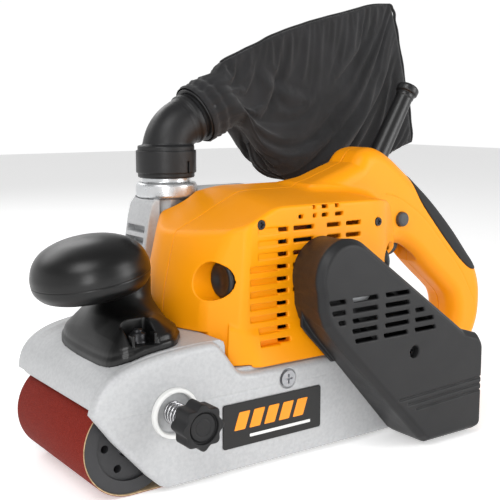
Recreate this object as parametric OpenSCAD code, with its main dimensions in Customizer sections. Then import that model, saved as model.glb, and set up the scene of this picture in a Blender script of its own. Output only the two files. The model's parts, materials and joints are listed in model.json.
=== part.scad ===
// Handheld belt sander for a 100 x 610 mm sanding belt.
// X runs from the front grip to the rear handle, the drive side is at -Y, Z is up,
// and Z = 0 is the working face of the belt.

/* [Sanding belt] */
// Width of the sanding belt
belt_w = 100; // [96:1:100]
// Circumference of the sanding belt
belt_len = 610; // [606:1:612]
// Thickness of the sanding belt
belt_t = 1; // [0.8:0.1:1.2]
// Radius of both belt rollers
roller_r = 30; // [29.5:0.5:30]

/* [Drive] */
// Height of the motor axis above the work
motor_z = 117; // [115:1:118]
// Gear module
gear_m = 0.9; // [0.9:0.1:0.9]
// Teeth on the layshaft pinion
pinion_t = 12; // [12:1:12]
// Teeth on the roller gear
gear_t = 36; // [36:1:36]
// Radius of the motor pulley
pulley_s = 10; // [9.5:0.5:10]
// Radius of the layshaft pulley
pulley_l = 26; // [25:0.5:26]
// Number of fan blades
fan_blades = 9; // [7:1:11]

/* [Housing] */
// Thickness of the plastic shells
wall = 3; // [2.5:0.5:3]
// Height of one cooling slot
slot_h = 3; // [2:0.5:3.5]
// Pitch of the cooling slots
slot_pitch = 8; // [8:0.5:8.5]

/* [Controls] */
// Radius of the tracking knob
knob_r = 14; // [12:0.5:14]
// Number of lobes on the tracking knob
knob_lobes = 8; // [6:1:9]
// Travel of the lock button
lock_travel = 3; // [2:0.5:3]

/* [Dust extraction] */
// Outer radius of the dust pipe
pipe_r = 17.5; // [17:0.5:17.5]
// Bore radius for the mains cord
cord_r = 4; // [3.5:0.5:4.5]

/* [View] */
// Which sub-part is drawn

/* [Hidden] */
$fn = 64;
gap = 0.3;
fit = 0.05;
half_w = belt_w / 2;
belt_ri = roller_r + gap;
belt_ro = belt_ri + belt_t;
axle_z = belt_ro;
axle_x = (belt_len - 2 * PI * (belt_ri + belt_t / 2)) / 4;
motor_x = 38;
gear_c = gear_m * (pinion_t + gear_t) / 2;
lay_dir = 37;
case_dirs = [110, 180, 300];
lay_x = axle_x + gear_c * cos(lay_dir);
lay_z = axle_z + gear_c * sin(lay_dir);
plate_y = -61;
plate_in = -54;
case_y = -80;
pod_y = -97;
vent_y = -53;
seam_y = 45;
pipe_x = -13.5;
pipe_y = 60;
deck_z = 88;
floor_z = 67.6;
bend_r = 24;
bend_z = 197;
tilt = 26.6;
bolt_x = -82;
bolt_y = -2;
neck_x = -80;
neck_r = 16.5;
ball_tilt = 9;
knob_x = -81;
knob_z = 50;
cord_tilt = 59;
brush_y = -31.5;
trigger_x = 133;
trigger_z = 133;
lock_x = 146;
lock_z = 146;
cover_x = 83;
cover_z = 69.5;
cover_wall = 2.5;
cover_bevel = 5;
side_screws = [[-10.5, 156.5], [90, 151.5]];
fan_screw_at = [[-30, 84], [90, 82], [78, 152]];

// ---- helpers ----

module xz(y0, y1) {
  translate([0, y1, 0]) rotate([90, 0, 0]) linear_extrude(y1 - y0) children();
}

module ycyl(x, z, r, y0, y1) {
  translate([x, y1, z]) rotate([90, 0, 0]) cylinder(r = r, h = y1 - y0);
}

module xcyl(y, z, r, x0, x1) {
  translate([x0, y, z]) rotate([0, 90, 0]) cylinder(r = r, h = x1 - x0);
}

module zcyl(x, y, r, z0, z1) {
  translate([x, y, z0]) cylinder(r = r, h = z1 - z0);
}

module box(a, b) {
  translate(a) cube([b[0] - a[0], b[1] - a[1], b[2] - a[2]]);
}

module ring(x, z, ro, ri, y0, y1) {
  difference() {
    ycyl(x, z, ro, y0, y1);
    ycyl(x, z, ri, y0 - 1, y1 + 1);
  }
}

function arc(c, r, a0, a1, n) =
  [for (i = [0:n]) c + r * [cos(a0 + (a1 - a0) * i / n), sin(a0 + (a1 - a0) * i / n)]];

function inset(pts, c, d) =
  [for (p = pts) p + d * (c - p) / max(norm(c - p), 1)];

// Loop round two discs, as one outline.
function loop(c1, r1, c2, r2, n) =
  let (v = c2 - c1, th = atan2(v[1], v[0]), b = acos((r1 - r2) / norm(v)))
  concat(arc(c1, r1, th + b, th + 360 - b, n), arc(c2, r2, th - b, th + b, n));

// Involute flank point at roll angle t in degrees.
function inv(rb, t) = rb * [cos(t) + t * PI / 180 * sin(t), sin(t) - t * PI / 180 * cos(t)];
function roll(rb, r) = sqrt(max(0, (r / rb) * (r / rb) - 1)) * 180 / PI;
function turn(p, a) = [p[0] * cos(a) - p[1] * sin(a), p[0] * sin(a) + p[1] * cos(a)];
function ang(p) = atan2(p[1], p[0]);

module gear2d(z, m, a0, slack) {
  pa = 25;
  rp = m * z / 2;
  rb = rp * cos(pa);
  ra = rp + m;
  rf = rp - 1.15 * m;
  half = 90 / z - slack / rp * 90 / PI;
  off = half + ang(inv(rb, roll(rb, rp)));
  t0 = roll(rb, max(rb, rf));
  t1 = roll(rb, ra);
  side = [for (i = [0:4]) turn(inv(rb, t0 + (t1 - t0) * i / 4), -off)];
  foot = turn([rf, 0], -off - 0.2);
  tooth = concat([foot], side, [for (i = [4:-1:0]) [side[i][0], -side[i][1]]], [[foot[0], -foot[1]]]);
  polygon([for (k = [0:z - 1]) for (p = tooth) turn(p, a0 + k * 360 / z)]);
}

module screw_y(x, z, r, y0, y1, head_r, head_h) {
  difference() {
    union() {
      ycyl(x, z, r, y0 + head_h - 0.1, y1);
      ycyl(x, z, head_r, y0, y0 + head_h);
    }
    box([x - 0.6, y0 - 1, z - head_r * 0.6], [x + 0.6, y0 + head_h * 0.6, z + head_r * 0.6]);
    box([x - head_r * 0.6, y0 - 1, z - 0.6], [x + head_r * 0.6, y0 + head_h * 0.6, z + 0.6]);
  }
}

module coil_y(x, z, r, wire, y0, y1, turns) {
  pitch = (y1 - y0) / turns;
  for (i = [0:turns - 1])
    translate([x, y0 + pitch * (i + 0.5), z]) rotate([90, 0, 0])
      rotate_extrude() translate([r, 0]) circle(r = wire, $fn = 24);
  for (i = [0:turns - 2])
    ycyl(x + (i % 2 == 0 ? r : -r), z, wire * 0.8, y0 + pitch * (i + 0.5), y0 + pitch * (i + 1.5));
}

// ---- frame ----

plate_front = [
  [-134, 57], [-131, 64], [-124, 75], [-110, 82], [-82, 87], [-52, 88], [-50, 87], [-44, 69],
  [-39, 64.5], [37, 64.5], [37, 2.5], [-86, 2.5], [-89, 5], [-99, 14], [-120, 38]
];

deck_top = [
  [-129, 57], [-127.5, 67], [-121, 75.5], [-109, 82], [-82, 87], [-52, deck_z], [-44, deck_z],
  [-40, deck_z - 2], [-40, floor_z], [axle_x, floor_z]
];

deck_under = [
  [axle_x, floor_z - 3], [-44, floor_z - 3], [-44, deck_z - 5], [-52, deck_z - 4.5],
  [-81, 83], [-107, 78], [-118, 72.5], [-124, 65.5], [-125.5, 57]
];

module hood2d() {
  c = [axle_x, axle_z];
  polygon(concat(arc(c, 39, 90, -36, 24), arc(c, 35.2, -36, 90, 24)));
}

module base_frame() {
  color("gainsboro") difference() {
    union() {
      xz(plate_y, plate_in) polygon(plate_front);
      xz(plate_y, plate_in) polygon([[36, 64.5], [axle_x, 64.5], [axle_x, 2.5], [36, 2.5]]);
      xz(plate_y, plate_in) difference() {
        circle_at([axle_x, axle_z], 39);
        translate([0, -40]) square([160, 42.5]);
        translate([36, -40]) square([axle_x - 36.5, 160]);
      }
      xz(plate_in - 1, half_w + 14) polygon(concat(deck_top, deck_under));
      xz(plate_in - 1, half_w + 6) hood2d();
      // inner carrier inside the belt loop
      xz(plate_in - 1, 42) polygon([[-46, 4.3], [70, 4.3], [70, 50], [62, 57], [-40, 57], [-46, 52]]);
      xcyl(-5, axle_z, 12, -58, -45);
    }
    // pockets in the carrier
    box([-6, -47, 10], [64, 43, 51]);
    box([-40, -47, 44], [-8, 43, 53]);
    box([-48, 20, 22], [-5, 43, 42]);
    box([-47, 28, 15], [-25, 43, 23]);
    // yoke stem guide and spring chamber
    xcyl(-5, axle_z, 6 + fit, -60, 0);
    xcyl(-5, axle_z, 9.5, -30, 0);
    // roller and layshaft bearings, tracking gear
    ycyl(axle_x, axle_z, 10.5, plate_y - 1, -56);
    ycyl(axle_x, axle_z, 8, -57, plate_in + 1);
    ycyl(lay_x, lay_z, 8, plate_y - 1, -56);
    ycyl(knob_x, knob_z, 3.05, plate_y - 1, plate_in + 1);
    ycyl(knob_x, knob_z, 12.5, plate_y - 1, -58.5);
    zcyl(-34, 34, 3, 10, 57.5);
    // label seat and screw seats
    box([-46.3, plate_y - 1, 18.2], [32.3, plate_y + 0.5, 47.3]);
    ycyl(5, 56, 6, plate_y - 1, plate_y + 2);
    ycyl(5, 56, 2.1, plate_y - 1, plate_in - 1);
    zcyl(bolt_x, bolt_y, 4, 60, 90);
  }
}

module circle_at(c, r) {
  translate(c) circle(r = r);
}

module platen() {
  color("silver") box([-73, -48, 3.2], [73, 48, 4.2]);
}

module platen_pad() {
  color("dimgray") box([-70, -48, belt_t + 0.1], [70, 48, 3.1]);
}

module sanding_belt() {
  a = [-axle_x, axle_z];
  b = [axle_x, axle_z];
  color("firebrick") xz(-half_w, half_w) difference() {
    polygon(loop(a, belt_ro, b, belt_ro, 40));
    polygon(loop(a, belt_ri, b, belt_ri, 40));
  }
}

module frame_bearings() {
  color("silver") {
    ring(axle_x, axle_z, 10.5 - 0.02, 6 + 0.02, -61, -56);
    ring(lay_x, lay_z, 8 - 0.02, 4 + 0.02, -61, -56);
  }
}

module case2d(d) {
  circle_at([axle_x, axle_z], 21 - d);
  circle_at([lay_x, lay_z], 13 - d);
}

module gear_case() {
  color("lightgray") difference() {
    union() {
      xz(case_y, plate_y - 0.1) case2d(0);
      for (a = case_dirs)
        ycyl(axle_x + 24 * cos(a), axle_z + 24 * sin(a), 4, -69, plate_y - 0.1);
    }
    xz(-72, plate_y) case2d(2.2);
    ycyl(axle_x, axle_z, 10.5, -79, -71);
    ycyl(lay_x, lay_z, 8, -79, -71);
    ycyl(lay_x, lay_z, 6, case_y - 1, -70);
    for (a = case_dirs)
      ycyl(axle_x + 24 * cos(a), axle_z + 24 * sin(a), 1.6, -70, plate_y);
  }
}

module case_bearings() {
  color("silver") {
    ring(axle_x, axle_z, 10.5 - 0.02, 4 + 0.02, -78, -73);
    ring(lay_x, lay_z, 8 - 0.02, 4 + 0.02, -78, -73);
  }
}

module case_screws() {
  color("silver") for (a = case_dirs)
    screw_y(axle_x + 24 * cos(a), axle_z + 24 * sin(a), 1.55, -71.5, -61.6, 3, 2.4);
}

module drive_belt() {
  a = [motor_x, motor_z];
  b = [lay_x, lay_z];
  color("black") xz(-89.4, -82.4) difference() {
    polygon(loop(a, pulley_s + gap + 2.2, b, pulley_l + gap + 2.2, 24));
    polygon(loop(a, pulley_s + gap, b, pulley_l + gap, 24));
  }
}

// ---- drive cover ----

// The boss over the motor pulley leans forward, so it has a front and a back outline.
cover_c = [84, 60];
cover_low = [
  [8, 95], [19, 82], [93, 5], [99, 2.2], [148, 2.2], [152, 4], [154, 8], [154, 52], [151, 62],
  [143, 70.5], [134, 76.8], [108, 95]
];
boss_front = concat(arc([26, 125], 24.5, 200, 54, 20), [[108, 95], [108, 94.9], [8, 94.9]]);
boss_back = concat(arc([38.8, 121], 25, 200, 88, 16), [[108, 95], [108, 92.1], [22, 92.1]]);
cover_face = concat(arc([26, 125], 24.5, 200, 54, 20), [for (i = [11:-1:0]) cover_low[i]]);

module cover_slice(pts, y, d) {
  xz(y, y + 0.1) polygon(inset(pts, cover_c, d));
}

// Outer body of the cover pulled in by d, from its face at y0.
module cover_body(y0, d) {
  y1 = pod_y + cover_bevel;
  xz(y1, plate_y - gap + d) polygon(inset(cover_low, cover_c, d));
  hull() {
    cover_slice(boss_front, y1, d);
    cover_slice(boss_back, vent_y - gap - 0.1 + d, d);
  }
  hull() {
    cover_slice(cover_face, y1, d);
    cover_slice(cover_face, y0, d + 4);
  }
}

module drive_cover() {
  color("dimgray") {
    difference() {
      cover_body(pod_y, 0);
      difference() {
        cover_body(pod_y + cover_wall, cover_wall);
        ycyl(cover_x, cover_z, 6.2, pod_y, -50);
      }
      // air slots in the outer face
      for (k = [0:4]) {
        z = motor_z - 7.5 - 6.7 * k;
        for (c = [[9 + 3 * k, 22, 3], [28, 49, 5], [56, 77, 5], [83, 84 + 4 * k, 5]])
          if (c[1] - c[0] > 3 && k < c[2]) box([c[0], pod_y - 1, z], [c[1], pod_y + 4, z + slot_h]);
      }
      // screw seat
      ycyl(cover_x, cover_z, 4.2, pod_y - 1, pod_y + 8);
      ycyl(cover_x, cover_z, 2.1, pod_y - 1, -50);
    }
    // back wall behind the handle
    intersection() {
      xz(-63.5, plate_y - gap) polygon(inset(cover_low, cover_c, 1));
      box([104, -70, 62], [150, -60, 110]);
    }
  }
}

module cover_screw() {
  color("black") screw_y(cover_x, cover_z, 1.8, pod_y + 4, -52, 3.6, 2.6);
}

module label_plate() {
  color("black") box([-46, plate_y - 0.6, 18.5], [32, plate_y + 0.4, 47]);
}

module plate_screw() {
  color("silver") screw_y(5, 56, 2, plate_y - 0.6, -55.6, 5.4, 2.4);
}

// ---- belt tracking ----

module tracking_boss() {
  color("whitesmoke") ring(knob_x, knob_z, 15.5, 12.6, plate_y - 3.5, plate_y - 0.1);
}

module tracking_spring() {
  color("silver") coil_y(knob_x, knob_z, 6, 0.9, -78.5, -59.4, 7);
}

module tracking_knob() {
  color("#262626") difference() {
    union() {
      ycyl(knob_x, knob_z, knob_r - 1.8, -95, -80);
      for (k = [0:knob_lobes - 1])
        ycyl(knob_x + (knob_r - 4) * cos(k * 360 / knob_lobes),
          knob_z + (knob_r - 4) * sin(k * 360 / knob_lobes), 4, -94, -81);
    }
    ycyl(knob_x, knob_z, 9, -96, -92);
    ycyl(knob_x, knob_z, 3, -90, -79);
  }
}

module tracking_screw() {
  color("silver") ycyl(knob_x, knob_z, 2.98, -89.9, -52);
}

// ---- front roller and tension ----

module front_roller() {
  color("#3c3c3c") difference() {
    ycyl(-axle_x, axle_z, roller_r, -half_w + 1, half_w - 1);
    ycyl(-axle_x, axle_z, 22, -half_w, -half_w + 3);
    ycyl(-axle_x, axle_z, 22, half_w - 6, half_w);
    ycyl(-axle_x, axle_z, 11, -44, 44);
    ycyl(-axle_x, axle_z, 8, -60, 60);
    for (k = [0:5])
      ycyl(-axle_x + 16 * cos(k * 60), axle_z + 16 * sin(k * 60), 2.5, -half_w, -30);
    // centre slot for the yoke tongue
    ycyl(-axle_x, axle_z, 40, -16, 6);
  }
}

module roller_bearings() {
  color("silver") for (y = [-43.9, 35])
    ring(-axle_x, axle_z, 11 - 0.02, 5 + 0.02, y, y + 8.9);
}

module front_axle() {
  color("silver") ycyl(-axle_x, axle_z, 5, -44.5, 44.5);
}

module yoke() {
  color("gray") difference() {
    union() {
      ycyl(-axle_x, axle_z, 9, -14, 4);
      box([-axle_x, -14, axle_z - 7], [-66, 4, axle_z + 7]);
      xcyl(-5, axle_z, 6, -68, -4);
    }
    ycyl(-axle_x, axle_z, 5 + 0.02, -20, 10);
  }
}

module tension_spring() {
  color("silver") translate([-15.6, -5, axle_z]) rotate([0, 0, 90]) coil_y(0, 0, 7.9, 0.8, 0.8, 13.6, 4);
}

module lever_pin() {
  color("silver") zcyl(-34, 34, 2.95, 12, 56);
}

module tension_lever() {
  color("#b8b8b8") difference() {
    union() {
      zcyl(-34, 34, 7, 25, 38);
      box([-34, 34, 27], [14, 40, 36]);
      zcyl(14, 37, 3, 27, 36);
      box([6, 38, 27], [14, 47, 36]);
    }
    zcyl(-34, 34, 3.0, 20, 44);
  }
}

// ---- rear roller and gearing ----

module rear_core() {
  color("silver") difference() {
    ycyl(axle_x, axle_z, roller_r - 3, -half_w + 1.5, half_w - 1.5);
    ycyl(axle_x, axle_z, 22, half_w - 12, half_w + 1);
    ycyl(axle_x, axle_z, 6.02, -60, 60);
  }
}

module rear_sleeve() {
  color("#3a2a20") ring(axle_x, axle_z, roller_r, roller_r - 3 + 0.02, -half_w + 1.5, half_w - 1.5);
}

module rear_shaft() {
  color("silver") {
    ycyl(axle_x, axle_z, 6, -62, 44);
    ycyl(axle_x, axle_z, 4, -78.5, -61);
  }
}

module rear_gear() {
  color("darkgray") xz(-71, -63) difference() {
    translate([axle_x, axle_z]) gear2d(gear_t, gear_m, lay_dir, 0.12);
    circle_at([axle_x, axle_z], 4.02);
  }
}

module layshaft() {
  color("silver") union() {
    ycyl(lay_x, lay_z, 4, -91.3, -56.5);
    xz(-71, -63) translate([lay_x, lay_z]) gear2d(pinion_t, gear_m, lay_dir + 180 + 15, 0.12);
  }
}

module pulley(x, z, r, bore, y0, y1) {
  difference() {
    union() {
      ycyl(x, z, r, y0, y1);
      ycyl(x, z, r + 1.6, y0, y0 + 0.9);
      ycyl(x, z, r + 1.6, y1 - 0.9, y1);
    }
    ycyl(x, z, bore, y0 - 1, y1 + 1);
  }
}

module large_pulley() {
  color("gray") difference() {
    pulley(lay_x, lay_z, pulley_l, 4.02, -90.4, -81.4);
    for (k = [0:5])
      ycyl(lay_x + 15.5 * cos(k * 60), lay_z + 15.5 * sin(k * 60), 4.5, -100, -80);
  }
}

module small_pulley() {
  color("gray") pulley(motor_x, motor_z, pulley_s, 4.02, -90.4, -81.4);
}

// ---- motor ----

module armature_shaft() {
  color("silver") union() {
    ycyl(motor_x, motor_z, 4, -91.3, 78);
    ycyl(motor_x, motor_z, 5.5, -42, 44);
  }
}

module armature_core() {
  color("dimgray") difference() {
    ycyl(motor_x, motor_z, 23, -10, 30);
    ycyl(motor_x, motor_z, 5.52, -20, 40);
    for (k = [0:11])
      translate([motor_x, 0, motor_z]) rotate([0, k * 30, 0]) box([19, -20, -1.2], [25, 40, 1.2]);
  }
}

module armature_coils() {
  color("chocolate") {
    ring(motor_x, motor_z, 20, 5.54, -20, -10.1);
    ring(motor_x, motor_z, 20, 5.54, 30.1, 38);
  }
}

module commutator() {
  color("peru") difference() {
    ycyl(motor_x, motor_z, 14, -40, -23);
    ycyl(motor_x, motor_z, 5.54, -50, 0);
    for (k = [0:11])
      translate([motor_x, 0, motor_z]) rotate([0, k * 30 + 15, 0]) box([12.6, -50, -0.3], [15, 0, 0.3]);
  }
}

module fan() {
  color("dimgray") difference() {
    union() {
      ycyl(motor_x, motor_z, 37, 50, 52);
      ycyl(motor_x, motor_z, 9, 50, 66);
      for (k = [0:fan_blades - 1])
        translate([motor_x, 0, motor_z]) rotate([0, k * 360 / fan_blades, 0])
          rotate([0, 12, 0]) box([8, 51, -0.9], [35, 66, 0.9]);
    }
    ycyl(motor_x, motor_z, 4.02, 40, 70);
  }
}

module field_core() {
  color("slategray") difference() {
    ycyl(motor_x, motor_z, 42, -10, 30);
    ycyl(motor_x, motor_z, 23.6, -20, 40);
    for (s = [-1, 1])
      box([motor_x - 15, -20, motor_z + s * 31 - 5], [motor_x + 15, 40, motor_z + s * 31 + 5]);
  }
}

module field_coils() {
  color("chocolate") for (s = [-1, 1]) for (y = [-20, 30.2])
    box([motor_x - 14.5, y, motor_z + s * 31 - 4.5], [motor_x + 14.5, y + 9.8, motor_z + s * 31 + 4.5]);
}

module brush_holders() {
  color("goldenrod") for (s = [0, 1]) translate([s * 2 * motor_x, 0, 0]) mirror([s, 0, 0])
    difference() {
      xcyl(brush_y, motor_z, 6.5, -16, 19);
      box([-30, brush_y - 3, motor_z - 4], [30, brush_y + 3, motor_z + 4]);
    }
}

module brushes() {
  color("#222222") for (s = [0, 1]) translate([s * 2 * motor_x, 0, 0]) mirror([s, 0, 0])
    box([6, brush_y - 2.9, motor_z - 3.9], [23.65, brush_y + 2.9, motor_z + 3.9]);
}

module brush_caps() {
  color("#1c1c1c") for (s = [0, 1]) translate([s * 2 * motor_x, 0, 0]) mirror([s, 0, 0])
    difference() {
      union() {
        xcyl(brush_y, motor_z, 7.4, -25.2, -16.1);
        xcyl(brush_y, motor_z, 11.6, -29, -25.1);
      }
      box([-30, brush_y - 0.9, motor_z - 8], [-27.4, brush_y + 0.9, motor_z + 8]);
    }
}

module motor_bearings() {
  color("silver") {
    ring(motor_x, motor_z, 11 - 0.02, 4.02, -50, -43);
    ring(motor_x, motor_z, 11 - 0.02, 4.02, 71, 78);
  }
}

// ---- motor housing and rear handle ----

body_out = [
  [-55, 88.4], [-53, 111], [-44, 148], [-38, 163], [-30, 171], [-19, 176], [35, 176.5],
  [80, 177], [96, 173], [112, 163], [126, 146], [130, 136]
];
body_rear = [[128, 122], [114, 112], [112, 71], [104, 70.8], [96, 68], [-39.6, 68], [-39.6, 88.4]];
body_in = [
  [-38, 92], [-48, 92], [-47, 111], [-39, 145], [-33.5, 159], [-27, 167], [-18, 172.8],
  [35, 173.4], [79, 173.8], [94, 169.6], [108, 161], [108, 71.2], [-36.4, 71.2]
];
side_in = [
  [-36, 71.2], [-36, 149], [-17, 154.5], [0, 162], [22, 163.5], [61, 165], [78, 158.7],
  [90, 151.5], [108, 121], [108, 71.2]
];
hump = [
  [60, 177], [80, 179], [92, 185], [100, 196], [108, 201], [118, 201], [128, 198.5],
  [140, 192.6], [140, 130], [128, 122], [100, 160]
];
arm_out = [
  [127, 198], [137, 194], [150, 186], [161, 177], [184, 158], [208, 135], [226, 115], [236, 105],
  [243, 88], [244.5, 70], [242, 53], [235, 40], [222, 26], [205, 16], [185, 9], [165, 6], [143.5, 6]
];
arm_in = [
  [143.5, 31], [160, 31], [178, 33], [192, 38], [202, 46], [208, 57], [209.5, 69], [206, 79],
  [187, 96], [163, 117], [150, 125], [127, 121]
];

// Arm outline pulled in by d on both sides.
module arm2d(d) {
  c = [172, 82];
  o = [for (p = arm_out) p + d * (c - p) / norm(c - p)];
  i = [for (p = arm_in) p - d * (c - p) / norm(c - p)];
  polygon(concat(o, i));
}

module arm_layers(s) {
  difference() {
    for (l = [[0, 9, 0], [8.9, 13, 1.2], [12.9, 16, 3.2], [15.9, 18, 6]])
      if (s < 0) xz(-l[1], -max(l[0], 0.1)) arm2d(l[2]);
      else xz(max(l[0], 0.1), l[1]) arm2d(l[2]);
    // the foot of the handle stands clear of the rear hood
    box([120, -30, -1], [143.5, 30, 62]);
  }
}

// Plan limits of the body: a central prow in front, and a taper to the handle behind.
module plan_cut(d) {
  translate([0, 0, 60]) linear_extrude(160) {
    polygon([
      [-90, -70], [-20 + d, -70], [-20 + d, -56 + d], [-35 + d, -42 + d], [-50 + d, 2], [-56 + d, 12],
      [-56 + d, 20], [-38 + d, 46], [-90, 60]
    ]);
    polygon([[98 - d, -80], [98 - d, -50], [135 - d, -21 + d], [160, -21 + d], [160, -80]]);
    polygon([[98 - d, 60], [98 - d, 42], [135 - d, 21 - d], [160, 21 - d], [160, 60]]);
  }
}

module cavity(y0, y1) {
  difference() {
    union() {
      xz(max(y0, -43), y1) polygon(body_in);
      if (y0 < -43) xz(y0, -42.9) polygon(side_in);
    }
    plan_cut(3.4);
    brush_boss(14.6);
  }
}

module brush_boss(r) {
  xcyl(brush_y, motor_z, r, -48, -20);
  xcyl(brush_y, motor_z, r, 96, 112);
}

module housing_bore() {
  // cord guard seat
  translate([122, 0, 168]) rotate([0, 90 - cord_tilt, 0]) cylinder(r = 8.55, h = 60);
  // brush caps and their recesses
  for (s = [0, 1]) translate([s * 2 * motor_x, 0, 0]) mirror([s, 0, 0]) {
    xcyl(brush_y, motor_z, 7.5, -60, -15);
    xcyl(brush_y, motor_z, 12, -60, -25);
  }
  // trigger slot, trigger pivot and switch cavity
  ycyl(trigger_x, trigger_z, 2 + fit, -12.5, 12.5);
  box([126, -10.5, 90], [172, 10.5, 150]);
  xz(-12, 12) polygon([
    [112, 150], [112, 188], [140, 180], [178, 152], [196, 130], [186, 118], [160, 136], [140, 150]
  ]);
}

module housing_left() {
  color("orange") difference() {
    union() {
      difference() {
        union() {
          xz(-46, -0.1) polygon(concat(body_out, body_rear));
          xz(vent_y, -45.9) polygon([
            [-40, 68], [-40, 152], [-18, 158], [0, 165.5], [22, 167], [62, 168.5], [80, 162], [93, 154],
            [112, 122], [112, 71], [104, 70.8], [96, 68]
          ]);
          xz(-59, -49.9) polygon([
            [-40, 65.4], [-40, 84], [-20, 88], [112, 88], [112, 71], [104, 70.6], [40, 65.4]
          ]);
        }
        plan_cut(0);
      }
      xz(-20, -0.1) polygon(hump);
      arm_layers(-1);
    }
    difference() {
      cavity(-50, 1);
      ycyl(motor_x, motor_z, 14, -51, -43);
    }
    ycyl(motor_x, motor_z, 11, -50, -40);
    ycyl(motor_x, motor_z, 8, -60, -42);
    housing_bore();
    // step over the deck and the side plate
    box([-60, -70, 60], [120, -49.6, 65.2]);
    box([-60, plate_in - 1.2, 60], [120, -40, 67.9]);
    // lock button bore
    ycyl(lock_x, lock_z, 5.5, -25, -8);
    // side screws and the cover screw
    for (p = side_screws) {
      ycyl(p[0], p[1], 2.1, -60, 2);
      ycyl(p[0], p[1], 3.2, -60, -51);
    }
    ycyl(cover_x, cover_z, 1.85, -60, -51);
    // cooling slots
    for (k = [0:9]) {
      z = 151 - slot_pitch * k;
      for (c = [[3, 11], [15, 32], [43, 55], [60, 73]])
        if (!(c[0] > 40 && k > 4) && !(c[0] > 10 && c[0] < 40 && k > 5))
          box([c[0], -60, z], [c[1], -49, z + slot_h]);
    }
    for (z = [159, 164.2]) box([17, -60, z], [62, -45, z + slot_h - 1]);
  }
  // cradle for the motor
  color("orange") box([28, -9, 71.1], [48, -0.2, 75]);
}

module housing_right() {
  color("orange") difference() {
    union() {
      difference() {
        xz(0.1, seam_y) polygon(concat(body_out, body_rear));
        plan_cut(0);
        // top edge leans in towards the fan housing
        translate([0, seam_y - 4, 170]) rotate([35, 0, 0]) box([-80, 0, -40], [200, 40, 40]);
      }
      xz(0.1, 20) polygon(hump);
      arm_layers(1);
    }
    difference() {
      cavity(-1, seam_y - wall);
      translate([0, seam_y - 8, 170]) rotate([35, 0, 0]) box([-80, 0, -40], [200, 40, 40]);
    }
    ycyl(motor_x, motor_z, 30, 30, 60);
    housing_bore();
    zcyl(pipe_x, pipe_y, 23.5, 140, 210);
    for (p = side_screws) ycyl(p[0], p[1], 1.7, -2, 14);
  }
  color("orange") box([28, 0.2, 71.1], [48, 29, 75]);
}

module housing_screws() {
  color("#222222") for (p = side_screws)
    screw_y(p[0], p[1], 1.6, vent_y + 0.4, -48, 2.9, 1.6);
}

module rear_grip() {
  c = [172, 82];
  o = [[161, 177], [184, 158], [208, 135], [226, 115], [236, 105]];
  p1 = [for (p = o) p + 1.6 * (p - c) / norm(p - c)];
  p0 = [for (i = [len(o) - 1:-1:0]) o[i] + 0.15 * (o[i] - c) / norm(o[i] - c)];
  color("#2b2b2b") xz(-11, 11) polygon(concat(p1, p0));
}

module switch_body() {
  color("#303030") translate([150, 0, 152]) rotate([0, 40, 0]) box([-17, -9, -6], [17, 9, 8]);
}

module trigger() {
  color("#1e1e1e") {
    xz(-9, 9) polygon([
      [131, 134], [137, 139], [147, 136], [153, 128], [151, 121], [145, 117.5], [139, 118.5], [133, 125]
    ]);
    ycyl(trigger_x, trigger_z, 4, -9, 9);
    ycyl(trigger_x, trigger_z, 2, -12.2, 12.2);
  }
}

module lock_button() {
  color("#333333") ycyl(lock_x, lock_z, 5.5 - fit, -21.5, -13.2);
}

module cord_guard() {
  color("#202020") translate([122, 0, 168]) rotate([0, 90 - cord_tilt, 0]) difference() {
    union() {
      translate([0, 0, 12]) cylinder(r = 8.5, h = 14);
      translate([0, 0, 25.9]) cylinder(r1 = 7.9, r2 = 6.8, h = 58.2);
      translate([0, 0, 84]) cylinder(r = 7.6, h = 2);
      translate([0, 0, 85.9]) cylinder(r = 8.6, h = 4.6);
    }
    cylinder(r = cord_r, h = 120);
  }
}

// ---- fan housing and dust path ----

fan_out = [
  [-42, 93], [-41, 129], [-35, 161], [-29, 168], [-10, 171], [60, 171], [82, 160], [96, 138],
  [100, 112], [100, 68.2], [-36, 68.2]
];

module fan_housing() {
  color("lightgray") difference() {
    union() {
      xz(seam_y + 0.1, 79) polygon(fan_out);
      xz(78.9, 82) polygon(inset(fan_out, [30, 118], 5));
      zcyl(pipe_x, pipe_y, pipe_r + 3, 150, 165.6);
    }
    ycyl(motor_x, motor_z, 40, 48, 70);
    ycyl(motor_x, motor_z, 24, seam_y - 1, 50);
    ycyl(motor_x, motor_z, 11, 71, 78);
    ycyl(motor_x, motor_z, 7, 68, 79.5);
    zcyl(pipe_x, pipe_y, 14, 98, 155);
    zcyl(pipe_x, pipe_y, pipe_r, 150, 180);
    zcyl(pipe_x, pipe_y, 22 + gap, 165.6, 180);
    // louvres on the front face
    for (k = [0:3]) box([-50, 49, 118 + 8 * k], [-32, 76, 122.6 + 8 * k]);
    // air slots on the far face
    for (k = [0:6]) for (s = [-1, 1])
      box([motor_x + s * 26 - 7, 69, motor_z - 22 + 7 * k], [motor_x + s * 26 + 7, 90, motor_z - 19 + 7 * k]);
    for (p = fan_screw_at) {
      ycyl(p[0], p[1], 1.8, 50, 90);
      ycyl(p[0], p[1], 3.6, 76, 90);
    }
    // dust intake from the rear hood
    box([84, 50, 60], [97, 62, 110]);
    box([70, 50, 94], [96, 66, 110]);
  }
}

module fan_screws() {
  color("silver") for (p = fan_screw_at)
    translate([0, 2 * 66, 0]) mirror([0, 1, 0]) screw_y(p[0], p[1], 1.75, 51.5, 80, 3.4, 2.4);
}

module dust_pipe() {
  color("silver") difference() {
    union() {
      zcyl(pipe_x, pipe_y, pipe_r - 0.02, 156, 200);
      zcyl(pipe_x, pipe_y, 21, 166, 176.8);
      zcyl(pipe_x, pipe_y, 22, 167.2, 175.6);
    }
    zcyl(pipe_x, pipe_y, 15, 150, 210);
  }
}

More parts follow.
